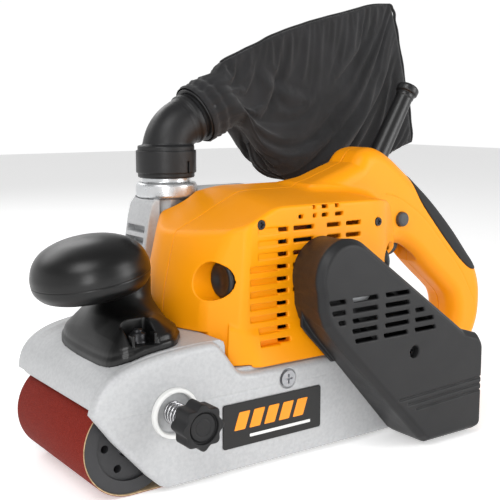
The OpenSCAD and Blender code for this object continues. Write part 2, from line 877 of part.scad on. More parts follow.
module along_outlet(s) {
  translate([
    pipe_x + bend_r * (1 - sin(tilt)) + s * cos(tilt), pipe_y, bend_z + bend_r * cos(tilt) + s * sin(tilt)
  ]) rotate([0, 90 - tilt, 0]) children();
}

module bend(r) {
  translate([pipe_x + bend_r, pipe_y, bend_z]) rotate([90, 0, 0])
    rotate([0, 0, 90 + tilt]) rotate_extrude(angle = 90 - tilt) translate([bend_r, 0]) circle(r = r);
}

module dust_elbow() {
  color("#2a2a2a") difference() {
    union() {
      zcyl(pipe_x, pipe_y, 20.5, 180, 203);
      bend(17.2);
      along_outlet(-0.4) cylinder(r = 17.5, h = 30.4);
      along_outlet(7) cylinder(r = 18.6, h = 2.5);
    }
    zcyl(pipe_x, pipe_y, pipe_r + fit, 170, 200.5);
    bend(14.4);
    along_outlet(-0.8) cylinder(r = 14.8, h = 40);
  }
}

module elbow_band() {
  color("#4a4a4a") difference() {
    zcyl(pipe_x, pipe_y, 21.6, 184, 199);
    zcyl(pipe_x, pipe_y, 20.52, 170, 205);
    box([pipe_x + 6, pipe_y - 30, 183], [pipe_x + 8, pipe_y - 15, 193]);
  }
}

module bag_ring() {
  color("#1b1b1b") along_outlet(12) difference() {
    cylinder(r = 20.5, h = 14);
    translate([0, 0, -1]) cylinder(r = 17.5 + fit, h = 20);
  }
}

bag_c = [140, 235];
bag_pts = [
  [27, 237], [38, 250], [65, 272], [84, 284], [120, 296], [155, 304], [198, 315], [208, 314],
  [213, 294], [221, 262], [233, 223], [237, 208], [233, 201], [210, 199], [170, 193], [130, 186],
  [95, 183], [72, 190], [62, 203], [48, 212], [40, 214]
];

module bag_body(d) {
  for (l = [[26 - d, 5], [18 - d, 1.5], [10 - d, 0]])
    xz(pipe_y - l[0], pipe_y + l[0]) polygon(inset(bag_pts, bag_c, l[1] * 2 + d));
}

module dust_bag() {
  color("#383838") difference() {
    union() {
      bag_body(0);
      along_outlet(26.1) cylinder(r = 21.5, h = 10);
      along_outlet(14) difference() {
        cylinder(r = 21.6, h = 14);
        translate([0, 0, -1]) cylinder(r = 20.52, h = 20);
      }
    }
    bag_body(1.6);
    along_outlet(26) cylinder(r = 18.5, h = 22);
  }
}

// ---- front grip ----

foot_prof = [
  [-117, 77.9], [-109, 82.35], [-82, 87.35], [-59, 88.2], [-59, 96], [-62, 101], [-97, 101],
  [-108, 93], [-117, 84]
];

module grip_base() {
  color("#1f1f1f") difference() {
    union() {
      intersection() {
        xz(-60, 60) polygon(foot_prof);
        translate([-87.5, -7, 60]) rounded([57, 92], 15, 60, 32);
      }
      translate([neck_x, 0, 100.9]) cylinder(r1 = 21, r2 = neck_r, h = 9);
      zcyl(neck_x, 0, neck_r, 109, 123.5);
    }
    zcyl(bolt_x, bolt_y, 4.1, 70, 130);
    // clamp bolt pocket on the near side
    box([-103, -49, 91], [-85, -34, 110]);
  }
}

module rounded(s, r, h, n) {
  linear_extrude(h) polygon(concat(
    arc([s[0] / 2 - r, s[1] / 2 - r], r, 0, 90, n / 4),
    arc([-s[0] / 2 + r, s[1] / 2 - r], r, 90, 180, n / 4),
    arc([-s[0] / 2 + r, -s[1] / 2 + r], r, 180, 270, n / 4),
    arc([s[0] / 2 - r, -s[1] / 2 + r], r, 270, 360, n / 4)
  ));
}

grip_prof = [
  [0, 2], [18, 2], [27, 1.4], [33.5, 3.4], [38, 7.8], [39.4, 13], [38.9, 18], [36, 25], [30.5, 31],
  [22, 35], [12, 37.2], [0, 38]
];

module grip_knob() {
  color("#232323") difference() {
    translate([-101, 0, 113.5]) rotate([0, -ball_tilt, 0]) rotate_extrude($fn = 72) polygon(grip_prof);
    zcyl(neck_x, 0, neck_r + 0.1, 100, 123.6);
    zcyl(bolt_x, bolt_y, 4.1, 100, 140);
  }
}

module grip_bolt() {
  color("silver") {
    zcyl(bolt_x, bolt_y, 3.95, 80, 138);
    zcyl(bolt_x, bolt_y, 6.9, 76.5, 81.2);
    translate([-94, -42, 91.1]) cylinder(r = 5.5, h = 5, $fn = 6);
  }
}

// ---- which part is drawn ----
base_frame();
platen();
platen_pad();
sanding_belt();
frame_bearings();
gear_case();
case_bearings();
case_screws();
drive_belt();
drive_cover();
cover_screw();
label_plate();
plate_screw();
tracking_boss();
tracking_spring();
tension_spring();
lever_pin();
housing_left();
housing_right();
housing_screws();
rear_grip();
switch_body();
cord_guard();
field_core();
field_coils();
brush_holders();
brushes();
brush_caps();
motor_bearings();
fan_housing();
fan_screws();
dust_pipe();
grip_base();
grip_knob();
grip_bolt();
front_roller();
roller_bearings();
yoke();
front_axle();
rear_core();
rear_sleeve();
rear_shaft();
rear_gear();
layshaft();
large_pulley();
armature_shaft();
armature_core();
armature_coils();
commutator();
small_pulley();
fan();
trigger();
lock_button();
tension_lever();
tracking_knob();
tracking_screw();
dust_elbow();
elbow_band();
bag_ring();
dust_bag();
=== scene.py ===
"""Handheld belt sander: finishes, detailed visual pieces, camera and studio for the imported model.

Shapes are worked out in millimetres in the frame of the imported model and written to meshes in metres."""

import json
import math

import bpy
import numpy as np
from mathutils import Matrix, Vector


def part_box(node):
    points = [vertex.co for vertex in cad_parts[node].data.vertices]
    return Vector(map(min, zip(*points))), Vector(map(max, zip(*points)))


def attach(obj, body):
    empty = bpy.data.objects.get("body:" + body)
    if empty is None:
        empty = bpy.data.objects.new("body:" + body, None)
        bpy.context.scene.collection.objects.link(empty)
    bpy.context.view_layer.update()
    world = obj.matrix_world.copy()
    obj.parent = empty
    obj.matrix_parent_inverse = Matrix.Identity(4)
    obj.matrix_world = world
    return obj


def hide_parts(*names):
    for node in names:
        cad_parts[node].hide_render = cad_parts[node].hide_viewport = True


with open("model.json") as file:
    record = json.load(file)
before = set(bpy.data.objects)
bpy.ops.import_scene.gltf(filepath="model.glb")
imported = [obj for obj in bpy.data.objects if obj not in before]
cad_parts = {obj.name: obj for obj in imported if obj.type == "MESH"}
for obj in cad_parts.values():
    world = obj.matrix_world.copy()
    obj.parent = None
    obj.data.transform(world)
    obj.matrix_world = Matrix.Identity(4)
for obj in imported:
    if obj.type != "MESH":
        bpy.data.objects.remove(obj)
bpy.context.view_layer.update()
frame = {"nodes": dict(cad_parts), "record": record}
nodes = frame["nodes"]
MM = 0.001
# cell of the distance-field grids for the large pieces, mm
FINE = 0.7


# ---- distance fields

def poly(u, v, pts):
    """Signed distance in a plane to a closed outline, negative inside."""
    pts = np.asarray(pts, float)
    best = np.full(np.broadcast(u, v).shape, 1e12)
    inside = np.zeros(best.shape, bool)
    for (x0, y0), (x1, y1) in zip(pts, np.roll(pts, -1, 0)):
        ex, ey = x1 - x0, y1 - y0
        wx, wy = u - x0, v - y0
        t = np.clip((wx * ex + wy * ey) / (ex * ex + ey * ey), 0, 1)
        best = np.minimum(best, (wx - ex * t) ** 2 + (wy - ey * t) ** 2)
        if ey:
            inside ^= ((y0 <= v) != (y1 <= v)) & (u < x0 + ex * (v - y0) / ey)
    return np.where(inside, -1.0, 1.0) * np.sqrt(best)


def both(a, b, r=0.0):
    """Intersection with an edge rounding of r."""
    if r <= 0:
        return np.maximum(a, b)
    return np.minimum(np.maximum(a, b), -r) + np.hypot(np.maximum(a + r, 0), np.maximum(b + r, 0))


def either(a, b, r=0.0):
    """Union with a fillet of r."""
    if r <= 0:
        return np.minimum(a, b)
    return np.maximum(np.minimum(a, b), r) - np.hypot(np.maximum(r - a, 0), np.maximum(r - b, 0))


def less(a, b, r=0.0):
    """a without b."""
    return both(a, -b, r)


def any_of(*fields):
    """Union of many pieces, without fillets."""
    out = fields[0]
    for field in fields[1:]:
        out = np.minimum(out, field)
    return out


def plane(x, y, z, point, normal):
    n = np.asarray(normal, float) / np.linalg.norm(normal)
    return (x - point[0]) * n[0] + (y - point[1]) * n[1] + (z - point[2]) * n[2]


def slab(v, a, b):
    return np.abs(v - (a + b) / 2) - (b - a) / 2


def prism(x, y, z, pts, y0, y1, r=0.0):
    """Outline in X and Z between two Y planes, with all edges of both faces rounded by r."""
    return both(poly(x, z, pts), slab(y, y0, y1), r)


def block(x, y, z, lo, hi, r=0.0):
    d = both(slab(x, lo[0], hi[0]), slab(z, lo[2], hi[2]), r)
    return both(d, slab(y, lo[1], hi[1]), r)


def ycyl(x, y, z, c, radius, y0, y1, r=0.0):
    return both(np.hypot(x - c[0], z - c[1]) - radius, slab(y, y0, y1), r)


def xcyl(x, y, z, c, radius, x0, x1, r=0.0):
    return both(np.hypot(y - c[0], z - c[1]) - radius, slab(x, x0, x1), r)


def zcyl(x, y, z, c, radius, z0, z1, r=0.0):
    return both(np.hypot(x - c[0], y - c[1]) - radius, slab(z, z0, z1), r)


def curve(points, steps=5, closed=False):
    """Smooth path through the points (Catmull-Rom)."""
    p = np.asarray(points, float)
    n = len(p)
    out = []
    for i in range(n if closed else n - 1):
        q = [p[(i + k) % n] if closed else p[min(max(i + k, 0), n - 1)] for k in (-1, 0, 1, 2)]
        for t in np.arange(steps) / steps:
            out.append(0.5 * (2 * q[1] + (q[2] - q[0]) * t + (2 * q[0] - 5 * q[1] + 4 * q[2] - q[3]) * t ** 2
                              + (3 * q[1] - q[0] - 3 * q[2] + q[3]) * t ** 3))
    if not closed:
        out.append(p[-1])
    return np.array(out)


def arc(c, r, a0, a1, n=12):
    a = np.radians(np.linspace(a0, a1, n))
    return [(c[0] + r * math.cos(t), c[1] + r * math.sin(t)) for t in a]


# ---- surface nets

def sampled(field, ax, cell, size=8):
    """The field on a grid, worked out finely only in the blocks that the surface can reach."""
    count = [len(a) for a in ax]
    starts = [np.arange(0, n, size) for n in count]
    mids = [a[0] + cell * (s + (size - 1) / 2) for a, s in zip(ax, starts)]
    rough = np.broadcast_to(field(mids[0][:, None, None], mids[1][None, :, None], mids[2][None, None, :]),
                            [len(m) for m in mids])
    f = rough.repeat(size, 0).repeat(size, 1).repeat(size, 2).astype(np.float32)
    near = np.argwhere(np.abs(rough) < 1.3 * 0.87 * size * cell)
    local = np.stack(np.meshgrid(*[np.arange(size)] * 3, indexing="ij"), -1).reshape(-1, 3)
    for part in np.array_split(near, max(1, len(near) // 800)):
        at = (part[:, None, :] * size + local).reshape(-1, 3)
        x, y, z = (a[0] + cell * at[:, i] for i, a in enumerate(ax))
        f[tuple(at.T)] = field(x, y, z)
    return np.ascontiguousarray(f[:count[0], :count[1], :count[2]])


def surface(field, lo, hi, cell):
    """Vertices and quads of the surface where field(x, y, z) is 0."""
    lo = np.asarray(lo, float) - 2.1 * cell
    count = np.ceil((np.asarray(hi, float) + 2.1 * cell - lo) / cell).astype(int) + 1
    ax = [lo[i] + cell * np.arange(count[i]) for i in range(3)]
    f = sampled(field, ax, cell)
    inside = f < 0
    corners = [(i, j, k) for i in (0, 1) for j in (0, 1) for k in (0, 1)]

    def shifted(a, c):
        return a[tuple(slice(s, a.shape[i] - 1 + s) for i, s in enumerate(c))]

    total = sum(shifted(inside, c).astype(np.int8) for c in corners)
    active = np.argwhere((total > 0) & (total < 8))
    index = np.full(total.shape, -1, np.int32)
    index[tuple(active.T)] = np.arange(len(active))
    value = {c: f[tuple((active + c).T)] for c in corners}
    acc = np.zeros((len(active), 3))
    hits = np.zeros(len(active))
    for a in corners:
        for axis in range(3):
            if a[axis]:
                continue
            b = tuple(1 if i == axis else a[i] for i in range(3))
            cross = (value[a] < 0) != (value[b] < 0)
            va, vb = value[a][cross], value[b][cross]
            p = np.tile(np.array(a, float), (len(va), 1))
            p[:, axis] += va / (va - vb)
            acc[cross] += p
            hits[cross] += 1
    verts = lo + cell * (active + acc / hits[:, None])
    # two steps onto the exact surface
    for _ in range(2):
        x, y, z = verts.T
        h = 0.2 * cell
        d = field(x, y, z)
        g = np.stack([(field(x + h, y, z) - field(x - h, y, z)),
                      (field(x, y + h, z) - field(x, y - h, z)),
                      (field(x, y, z + h) - field(x, y, z - h))], 1) / (2 * h)
        step = d[:, None] * g / np.maximum((g * g).sum(1), 0.25)[:, None]
        verts = verts - np.clip(step, -0.4 * cell, 0.4 * cell)
    faces = []
    for axis in range(3):
        u, v = [i for i in range(3) if i != axis]
        lo_s = tuple(slice(1, -1) if i != axis else slice(0, -1) for i in range(3))
        hi_s = tuple(slice(1, -1) if i != axis else slice(1, None) for i in range(3))
        a, b = inside[lo_s], inside[hi_s]
        edge = np.argwhere(a != b)
        base = edge.copy()
        base[:, u] += 1
        base[:, v] += 1
        ring = []
        for du, dv in ((-1, -1), (0, -1), (0, 0), (-1, 0)):
            c = base.copy()
            c[:, u] += du
            c[:, v] += dv
            ring.append(index[tuple(c.T)])
        q = np.stack(ring, 1)
        flip = a[tuple(edge.T)] == (axis == 1)
        q[flip] = q[flip][:, ::-1]
        faces.append(q)
    faces = np.concatenate(faces)
    return verts, faces[(faces >= 0).all(1)]


def mesh_object(name, verts, faces, smooth=True):
    """Object from vertices in millimetres and faces of one size."""
    faces = np.asarray(faces)
    me = bpy.data.meshes.new(name)
    me.vertices.add(len(verts))
    me.vertices.foreach_set("co", (np.asarray(verts) * MM).ravel())
    me.loops.add(faces.size)
    me.loops.foreach_set("vertex_index", faces.ravel())
    me.polygons.add(len(faces))
    me.polygons.foreach_set("loop_start", np.arange(0, faces.size, faces.shape[1]))
    me.polygons.foreach_set("use_smooth", np.full(len(faces), smooth))
    me.update(calc_edges=True)
    me.validate()
    o = bpy.data.objects.new(name, me)
    bpy.context.scene.collection.objects.link(o)
    return o


def grid_faces(rows, n, closed=False, flip=False):
    """Quads between rows of n points, each row running round on itself."""
    across = np.arange(rows if closed else rows - 1)
    i, j = (g.ravel() for g in np.meshgrid(across, np.arange(n), indexing="ij"))
    k, after = (i + 1) % rows, (j + 1) % n
    quads = np.stack([i * n + j, i * n + after, k * n + after, k * n + j], 1)
    return quads[:, [0, 3, 2, 1]] if flip else quads


def solid(name, field, lo, hi, cell, material, body, stands_for=()):
    """A piece made from a distance field."""
    verts, faces = surface(field, lo, hi, cell)
    return place(mesh_object(name, verts, faces), material, body, stands_for)


def place(o, material, body, stands_for=()):
    if material:
        o.data.materials.clear()
        o.data.materials.append(material)
    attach(o, body)
    if stands_for:
        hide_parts(*stands_for)
    return o


# ---- driving sizes, mm

def node_centre(node):
    """Middle of a CAD node in X and Z."""
    low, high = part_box(node)
    return (low.x + high.x) / 2 / MM, (low.z + high.z) / 2 / MM


axle_x, axle_z = node_centre("rear_sleeve")
motor_x, motor_z = node_centre("fan")
MOTOR = (motor_x, motor_z)
plate_y = -61.0
plate_in = -54.0
pod_y = -97.0
vent_y = -53.0
seam_y = 45.0
pipe = (-13.5, 60.0)
knob = (-81.0, 50.0)
# centres of round parts, in the two axes across each one
BRUSH = (-36.0, 121.0)
SIDE_SCREWS = ((-10.5, 156.5), (90, 151.5))
COVER_SCREW = (83, 69.5)
PLATE_SCREW = (5, 56)
LOCK_BUTTON = (146, 146)
TRIGGER_PIVOT = (133.0, 133.0)
LEVER_PIN = (-34, 34)
CLAMP_BOLT = (-94, -42)
# the cord guard's foot and its lean from level
GUARD_FOOT = (122, 0, 168)
GUARD_DIR = (math.cos(math.radians(59)), 0, math.sin(math.radians(59)))


# ---- motor housing and rear handle

ARM_OUT = curve([(100, 190), (107, 198), (118, 200.6), (129, 198), (141, 191.5), (152, 183.5), (161, 176.5),
                 (184, 158), (208, 135), (226, 115), (237, 102), (243, 87), (244.4, 70), (242, 54), (235, 40),
                 (222, 26), (205, 16), (185, 9.4), (165, 6.4), (143.6, 6)], 4)
ARM_IN = curve([(143.6, 31), (160, 31), (178, 33), (192, 38), (202, 46.5), (208, 57), (209.4, 68), (206, 79),
                (198, 87), (187, 96), (174, 107), (163, 117), (150, 125), (138, 126), (128, 122)], 4)
ARM = list(ARM_OUT) + list(ARM_IN) + [(100, 150), (70, 172), (60, 176)]


def arm_field(x, y, z):
    """D-shaped rear handle, wider where it grows out of the body."""
    half = 18.0 + 4.5 * np.clip((150 - x) / 60, 0, 1) ** 1.5
    side = np.abs(y) - half
    return both(poly(x, z, ARM), side, 12.0)


INSERT = np.array([(158, 178.8), (172, 168), (190, 152.5), (208, 135), (222, 119.5), (233, 107),
                   (238.6, 99)])
INSERT_BULGE = np.sin(np.linspace(0, math.pi, len(INSERT)))[:, None] ** 0.6
INSERT_IN = INSERT - INSERT_BULGE * np.array([10.0, 10.6])
INSERT_OUT = INSERT + np.array([6, 6])


def insert_mask(x, y, z):
    """The lens-shaped part of the handle's back that the soft insert fills."""
    outline = list(curve(INSERT_IN)) + list(INSERT_OUT[::-1])
    return np.maximum(poly(x, z, outline), np.abs(y) - 18.6)


def insert_field(x, y, z):
    skin = arm_field(x, y, z)
    return both(both(insert_mask(x, y, z), skin - 0.5, 0.9), -(skin + 2.3))


BEVEL = ((-20.9, -53, 151), (-0.70, -0.712, 0.055))
# edge that the rear of the body rises from
REAR_EDGE = ((114, 0, 112), (0.58, 0, -0.81))


def body_field(x, y, z, t=0.0):
    """Motor body, moved inwards by t."""
    lean = 0.155 * (z - 111) + 0.1 * (np.sqrt((z - 111) ** 2 + 100) - 10)
    prow = plane(x - lean, y, z, (-53.5, 0, 0), (-0.94, -0.30, 0.0)) * 0.97
    nose = plane(x - lean, y, z, (-55.2, 0, 0), (-1, 0, 0)) * 0.96
    far = plane(x - lean, y, z, (-54.5, 20, 0), (-0.84, 0.54, 0.0)) * 0.96
    bevel = plane(x, y, z, *BEVEL)
    front = both(both(prow, nose, 9), far, 7)
    front = both(front, bevel, 2.0)
    crown = plane(x, y, z, (0, -20, 176.3), (0, -0.225, 0.974))
    top = both(both(z - 176.4, crown, 16), plane(x, y, z, (0, 38, 174), (0, 0.57, 0.82)), 8)
    slope = plane(x, y, z, (98, 0, 172.5), (0.52, 0, 0.854))
    rear = both(slope, plane(x, y, z, (127, 0, 146), (0.93, 0, 0.36)), 12)
    top = both(top, rear, 14)
    corner = plane(x, y, z, (0, -53, 166.5), (-0.43, -0.05, 0.9))
    d = both(both(front, top, 13), corner, 3)
    side = both(vent_y - y, plane(x, y, z, (98, -50.5, 0), (0.60, -0.80, 0)), 8)
    far_side = both(y - seam_y, plane(x, y, z, (98, 43, 0), (0.52, 0.854, 0)), 8)
    d = both(both(d, side, 2.5), far_side, 2.5)
    under = plane(x, y, z, *REAR_EDGE)
    back = np.where(z > 118, under, both(x - 112, under, 6))
    d = both(d, back, 3)
    floor = np.maximum(68.0 - z, np.minimum(-41.5 - x, 88.4 - z))
    return both(d + t, floor + t, 0.6)


def skirt_field(x, y, z):
    """Foot of the near side, which stands out over the side plate."""
    flare = plane(x, y, z, (0, -57.5, 74), (0, -0.97, 0.22))
    d = both(both(-58.6 - y, flare, 4), plane(x, y, z, (0, -53, 90), (0, -0.5, 0.866)), 3)
    d = both(d, both(65.6 - z, plane(x, y, z, (104, -56, 0), (0.8, -0.6, 0)), 0.5), 0.6)
    d = both(d, both(y + 48, z - 96), 0)
    return both(d, plane(x, y, z, (-26.6, -53, 70), (-0.42, -0.907, 0.03)), 2.0)


def outer_housing(x, y, z):
    body = either(body_field(x, y, z), skirt_field(x, y, z), 2.0)
    return either(body, arm_field(x, y, z), 9.0)


# a distance that no slot reaches
FAR = 50.0
VENT_COLUMNS = [(3, 11), (15, 32), (43, 55), (60, 73)]
TOP_VENTS = [(159.6, (19, 23, 31, 34, 38.5, 44, 50, 57)),
             (165.2, (31, 33.5, 38.5, 44, 50, 53.5))]


def vents(x, y, z):
    """Through slots and the shallow grooves that lead to them, on the near side."""
    d = np.full(np.broadcast(x, y, z).shape, FAR)
    for k in range(10):
        zc = 152.5 - 8 * k
        through = FAR
        for a, b in VENT_COLUMNS:
            if (a > 40 and k > 4) or (10 < a < 40 and k > 5):
                continue
            through = np.minimum(through, slab(x + 0.12 * (z - zc), a, b))
        slot = both(slab(z, zc - 1.45, zc + 1.45), through, 0.7)
        middle = 2 < k < 8
        deep = 1.6 if middle else 0.7
        groove = both(slab(x, -19.0 if middle else -13.0, 3.5), slab(z, zc - 2.3, zc + 1.6), 0.4)
        d = any_of(d, both(slot, slab(y, -60, -44)), both(groove, y - (vent_y + deep), 0.2))
    for zc, ends in TOP_VENTS:
        for a, b in zip(ends[::2], ends[1::2]):
            slot = both(slab(z, zc - 1.3, zc + 1.3), slab(x, a, b), 0.5)
            d = np.minimum(d, both(slot, slab(y, -60, -40)))
    return d


def housing_cuts(x, y, z):
    """Everything taken out of both housing halves."""
    p = (x, y, z)
    c, s = GUARD_DIR[0], GUARD_DIR[2]
    gx, gz = x - GUARD_FOOT[0], z - GUARD_FOOT[2]
    along = gx * c + gz * s
    across = np.hypot(np.hypot(gx - along * c, gz - along * s), y)
    return any_of(
        vents(*p),
        # brush caps in their hollows
        xcyl(*p, BRUSH, 12.2, -60, -25.3, 2.0),
        xcyl(*p, BRUSH, 7.6, -60, -15),
        xcyl(*p, BRUSH, 12.2, 101, 140, 2.0),
        xcyl(*p, BRUSH, 7.6, 90, 140),
        # screws and the lock button
        *[ycyl(*p, at, 3.2, -70, -50.6, 0.3) for at in SIDE_SCREWS],
        ycyl(*p, COVER_SCREW, 1.9, -70, -50),
        ycyl(*p, LOCK_BUTTON, 5.55, -30, -8),
        # cord guard seat, trigger slot and its pivot
        both(across - 8.6, slab(along, 0, 60)),
        block(*p, (127, -10.4, 90), (171, 10.4, 150)),
        ycyl(*p, TRIGGER_PIVOT, 2.1, -12.6, 12.6),
        # motor shaft, bearing and fan
        ycyl(*p, MOTOR, 8, -70, -40),
        ycyl(*p, MOTOR, 11, -50, -30),
        ycyl(*p, MOTOR, 30, 30, 70),
        zcyl(*p, pipe, 23.5, 140, 230),
        # room for the cast frame
        block(*p, (-60, -80, 40), (130, -50.2, 65.2)),
        block(*p, (-60, -55.2, 40), (130, -40, 67.9)))


# groove along the side of the handle
HANDLE_LINE = curve([(128, 166), (141, 163), (155.5, 155.5), (172.7, 143.4), (192.6, 123.6),
                     (214.6, 99.6), (231.7, 72.8)], 4)


def path_distance(u, v, pts):
    """Distance to an open path in a plane."""
    best = np.full(np.broadcast(u, v).shape, 1e12)
    for (x0, y0), (x1, y1) in zip(pts[:-1], pts[1:]):
        ex, ey = x1 - x0, y1 - y0
        t = np.clip(((u - x0) * ex + (v - y0) * ey) / (ex * ex + ey * ey), 0, 1)
        best = np.minimum(best, (u - x0 - ex * t) ** 2 + (v - y0 - ey * t) ** 2)
    return np.sqrt(best)


def housing_field(x, y, z):
    outer = outer_housing(x, y, z)
    hollow = body_field(x, y, z, 3.4)
    bosses = any_of(xcyl(x, y, z, BRUSH, 14.6, -48, -20), xcyl(x, y, z, BRUSH, 14.6, 96, 112),
                    ycyl(x, y, z, MOTOR, 14, -51, -43))
    hollow = np.maximum(hollow, -bosses)
    arm_hollow = both(np.maximum(outer + 4.5, slab(y, -13, 13)), slab(x, 112, 197), 3)
    arm_hollow = np.maximum(arm_hollow, 128 - z)
    d = less(less(outer, hollow), arm_hollow)
    arm = arm_field(x, y, z)
    line = both(np.maximum(path_distance(x, z, HANDLE_LINE) - 0.28, y + 8), -(arm + 0.5))
    d = less(d, line, 0.2)
    seat = np.maximum(insert_mask(x, y, z) - 0.12, -(arm + 2.4))
    return less(d, np.minimum(housing_cuts(x, y, z), seat), 0.35)


def make_housing(material, cap_material):
    seam = 0.1
    solid("housing_near", lambda x, y, z: both(housing_field(x, y, z), y + seam, 0.5),
          (-57, -60, 5), (246, 0, 202), FINE, material, "machine", ("housing_left",))
    solid("housing_far", lambda x, y, z: both(housing_field(x, y, z), seam - y, 0.5),
          (-57, 0, 5), (246, 46, 202), FINE, material, "machine", ("housing_right",))
    cap = [(7.3, -9), (7.3, -4), (11.7, -4), (11.7, -0.9), (10.9, 0), (8.8, 0), (8.3, -0.6), (5.2, -0.6),
           (4.8, -1.2), (0.01, -1.2)]
    lathe("brush_cap_front", cap, (-31, *BRUSH), (-1, 0, 0), cap_material, "machine", ("brush_caps",),
          n=64)
    lathe("brush_cap_rear", cap, (107, *BRUSH), (1, 0, 0), cap_material, "machine", (), n=64)


# ---- base frame

# near side plate, in X and Z: its shaped top edge and its straight foot
PLATE_TOP = [(-134, 57), (-132.4, 62), (-129, 68.5), (-121, 76.3), (-110, 81.4), (-96, 84.6), (-82, 86.4),
             (-66, 87.5), (-54, 87.8), (-48.5, 86.4), (-44.5, 82.2), (-40, 76.3), (-36, 70.8), (-32.5, 67),
             (-28, 65.2), (-21, 64.5)]
PLATE_FOOT = [(104, 64.4), (104, 2.5), (-84, 2.5), (-89, 4.5), (-98, 13), (-120, 38)]
PLATE = list(curve(PLATE_TOP, 3)) + PLATE_FOOT
# deck over the belt, in X and Z: outer face, rear shelf, inner face
DECK_TOP = [(-129, 56.5), (-128.3, 62), (-125.5, 69.3), (-119, 76.3), (-109, 81.6), (-96, 85), (-82, 87),
            (-66, 87.9), (-52, 88)]
DECK_SHELF = [(-44, 88), (-41, 86), (-40, 82), (-40, 67.4), (104.1, 67.4), (104.1, 64.6), (-44, 64.6),
              (-44, 83.2), (-60, 83.2)]
DECK_UNDER = [(-81, 82.3), (-95, 80.4), (-107, 77.3), (-117, 72), (-123, 65.5), (-125.4, 56.5)]
DECK = list(curve(DECK_TOP, 3)) + DECK_SHELF + list(curve(DECK_UNDER, 3))


def frame_field(x, y, z):
    """Cast frame: near side plate, deck over the belt, rear hood and the carrier inside the belt loop."""
    p = (x, y, z)
    near = both(poly(x, z, PLATE), plate_y - y, 4.2)
    near = both(near, y - plate_in, 0.8)
    # a shallow step along the plate
    step = both(both(slab(z, 52.8, 53.6), slab(x, -124, 38)), y - (plate_y + 0.35))
    near = less(near, step, 0.3)
    lip = 1.2 * np.clip((y - 48) / 6, 0, 1)
    deck = both(both(poly(x, z - lip, DECK), y - 64, 3.2), plate_in - 1 - y)
    round_axle = np.hypot(x - axle_x, z - axle_z)
    hood = np.abs(round_axle - 37.1) - 1.9
    hood = both(hood, np.maximum(axle_x - x, -(x - axle_x) * 0.588 - (z - axle_z) * 0.809), 0.5)
    hood = both(hood, slab(y, plate_in - 1, 56), 1.2)
    back = both(round_axle - 39, slab(y, plate_y, plate_in), 1.0)
    back = np.maximum(back, np.maximum(2.5 - z, 103.5 - x))
    carrier_side = [(-46, 4.3), (70, 4.3), (70, 50), (62, 57), (-40, 57), (-46, 52)]
    carrier = prism(*p, carrier_side, plate_in - 1, 42, 1.0)
    carrier = either(carrier, xcyl(*p, (-5, axle_z), 12, -58, -45, 0.8), 2)
    pockets = any_of(
        block(*p, (-6, -47, 10), (64, 43, 51), 3),
        block(*p, (-40, -47, 44), (-8, 43, 53), 2),
        block(*p, (-48, 20, 22), (-5, 43, 42), 2),
        xcyl(*p, (-5, axle_z), 6.05, -60, 0),
        xcyl(*p, (-5, axle_z), 9.5, -30, 0),
        zcyl(*p, LEVER_PIN, 3, 10, 57.5))
    carrier = less(carrier, pockets, 0.6)
    ribs = np.abs((x + 40) % 22 - 11) - 1.1
    ribs = both(both(ribs, slab(z, 11, 50)), both(slab(x, 2, 60), slab(y, -47, 34)))
    d = any_of(either(near, deck, 1.2), hood, back, carrier, ribs)
    cuts = any_of(
        # seats of the label, the screw above it and the tracking adjuster
        block(*p, (-46.3, -62, 18.2), (32.3, plate_y + 0.5, 47.3)),
        ycyl(*p, PLATE_SCREW, 6.6, -63, plate_y + 2.2, 1.0),
        ycyl(*p, PLATE_SCREW, 2.1, -63, -55),
        ycyl(*p, knob, 3.05, -63, -50),
        ycyl(*p, knob, 12.5, -63, -58.5, 0.8),
        # rear shaft and its bearing, and the hole for the grip's bolt
        ycyl(*p, (axle_x, axle_z), 10.5, -63, -56),
        ycyl(*p, (axle_x, axle_z), 8, -57, -50),
        zcyl(*p, (-82, -2), 4, 60, 90))
    return less(d, cuts, 0.4)


def make_frame(material):
    solid("frame_casting", frame_field, (-135, -61, 2), (144, 65, 89), FINE, material, "machine",
          ("base_frame",))


# ---- drive cover

# the boss over the motor pulley leans forward, so the cover has a front and a back outline
POD_END = [(134, 76.8)] + arc((138.5, 60.5), 15.5, 50, 8, 6) + [(154, 50), (154, 9)]
POD_END += arc((147, 9), 7, -5, -88, 6) + [(99, 2.1), (93.5, 6)]
POD_FRONT = arc((26, 125), 24.5, 200, 54, 26) + POD_END + [(19, 82), (8, 95), (4, 105)]
POD_BACK = arc((38.8, 121), 25, 200, 88, 20) + POD_END + [(33, 75.6), (25, 84.9), (18.9, 93.7), (15.7, 103)]
# height of each row of slots, then where each slot starts and ends
POD_SLOTS = [(111, (9, 22, 28, 49, 56, 77)), (104.2, (11.5, 22, 28, 49, 56, 77)),
             (97.6, (16.5, 22, 28, 49, 56, 77, 83, 91)), (91, (28, 49, 56, 77, 83, 100)),
             (84.3, (30.5, 49, 55, 76, 83, 102))]
POD_BEVEL = 5.0
POD_BEVEL_IN = 3.8


def pod_outer(x, y, z, t=0.0):
    """Outside of the cover, moved inwards by t."""
    back = np.clip((y - pod_y - POD_BEVEL) / (vent_y - pod_y - POD_BEVEL), 0, 1)
    side = (1 - back) * poly(x, z, POD_FRONT) + back * poly(x, z, POD_BACK) + t
    face = pod_y - y + t
    slope = (side * POD_BEVEL + (face + POD_BEVEL) * POD_BEVEL_IN) / 6.28
    return both(both(side, slope, 0.9), face, 0.9)


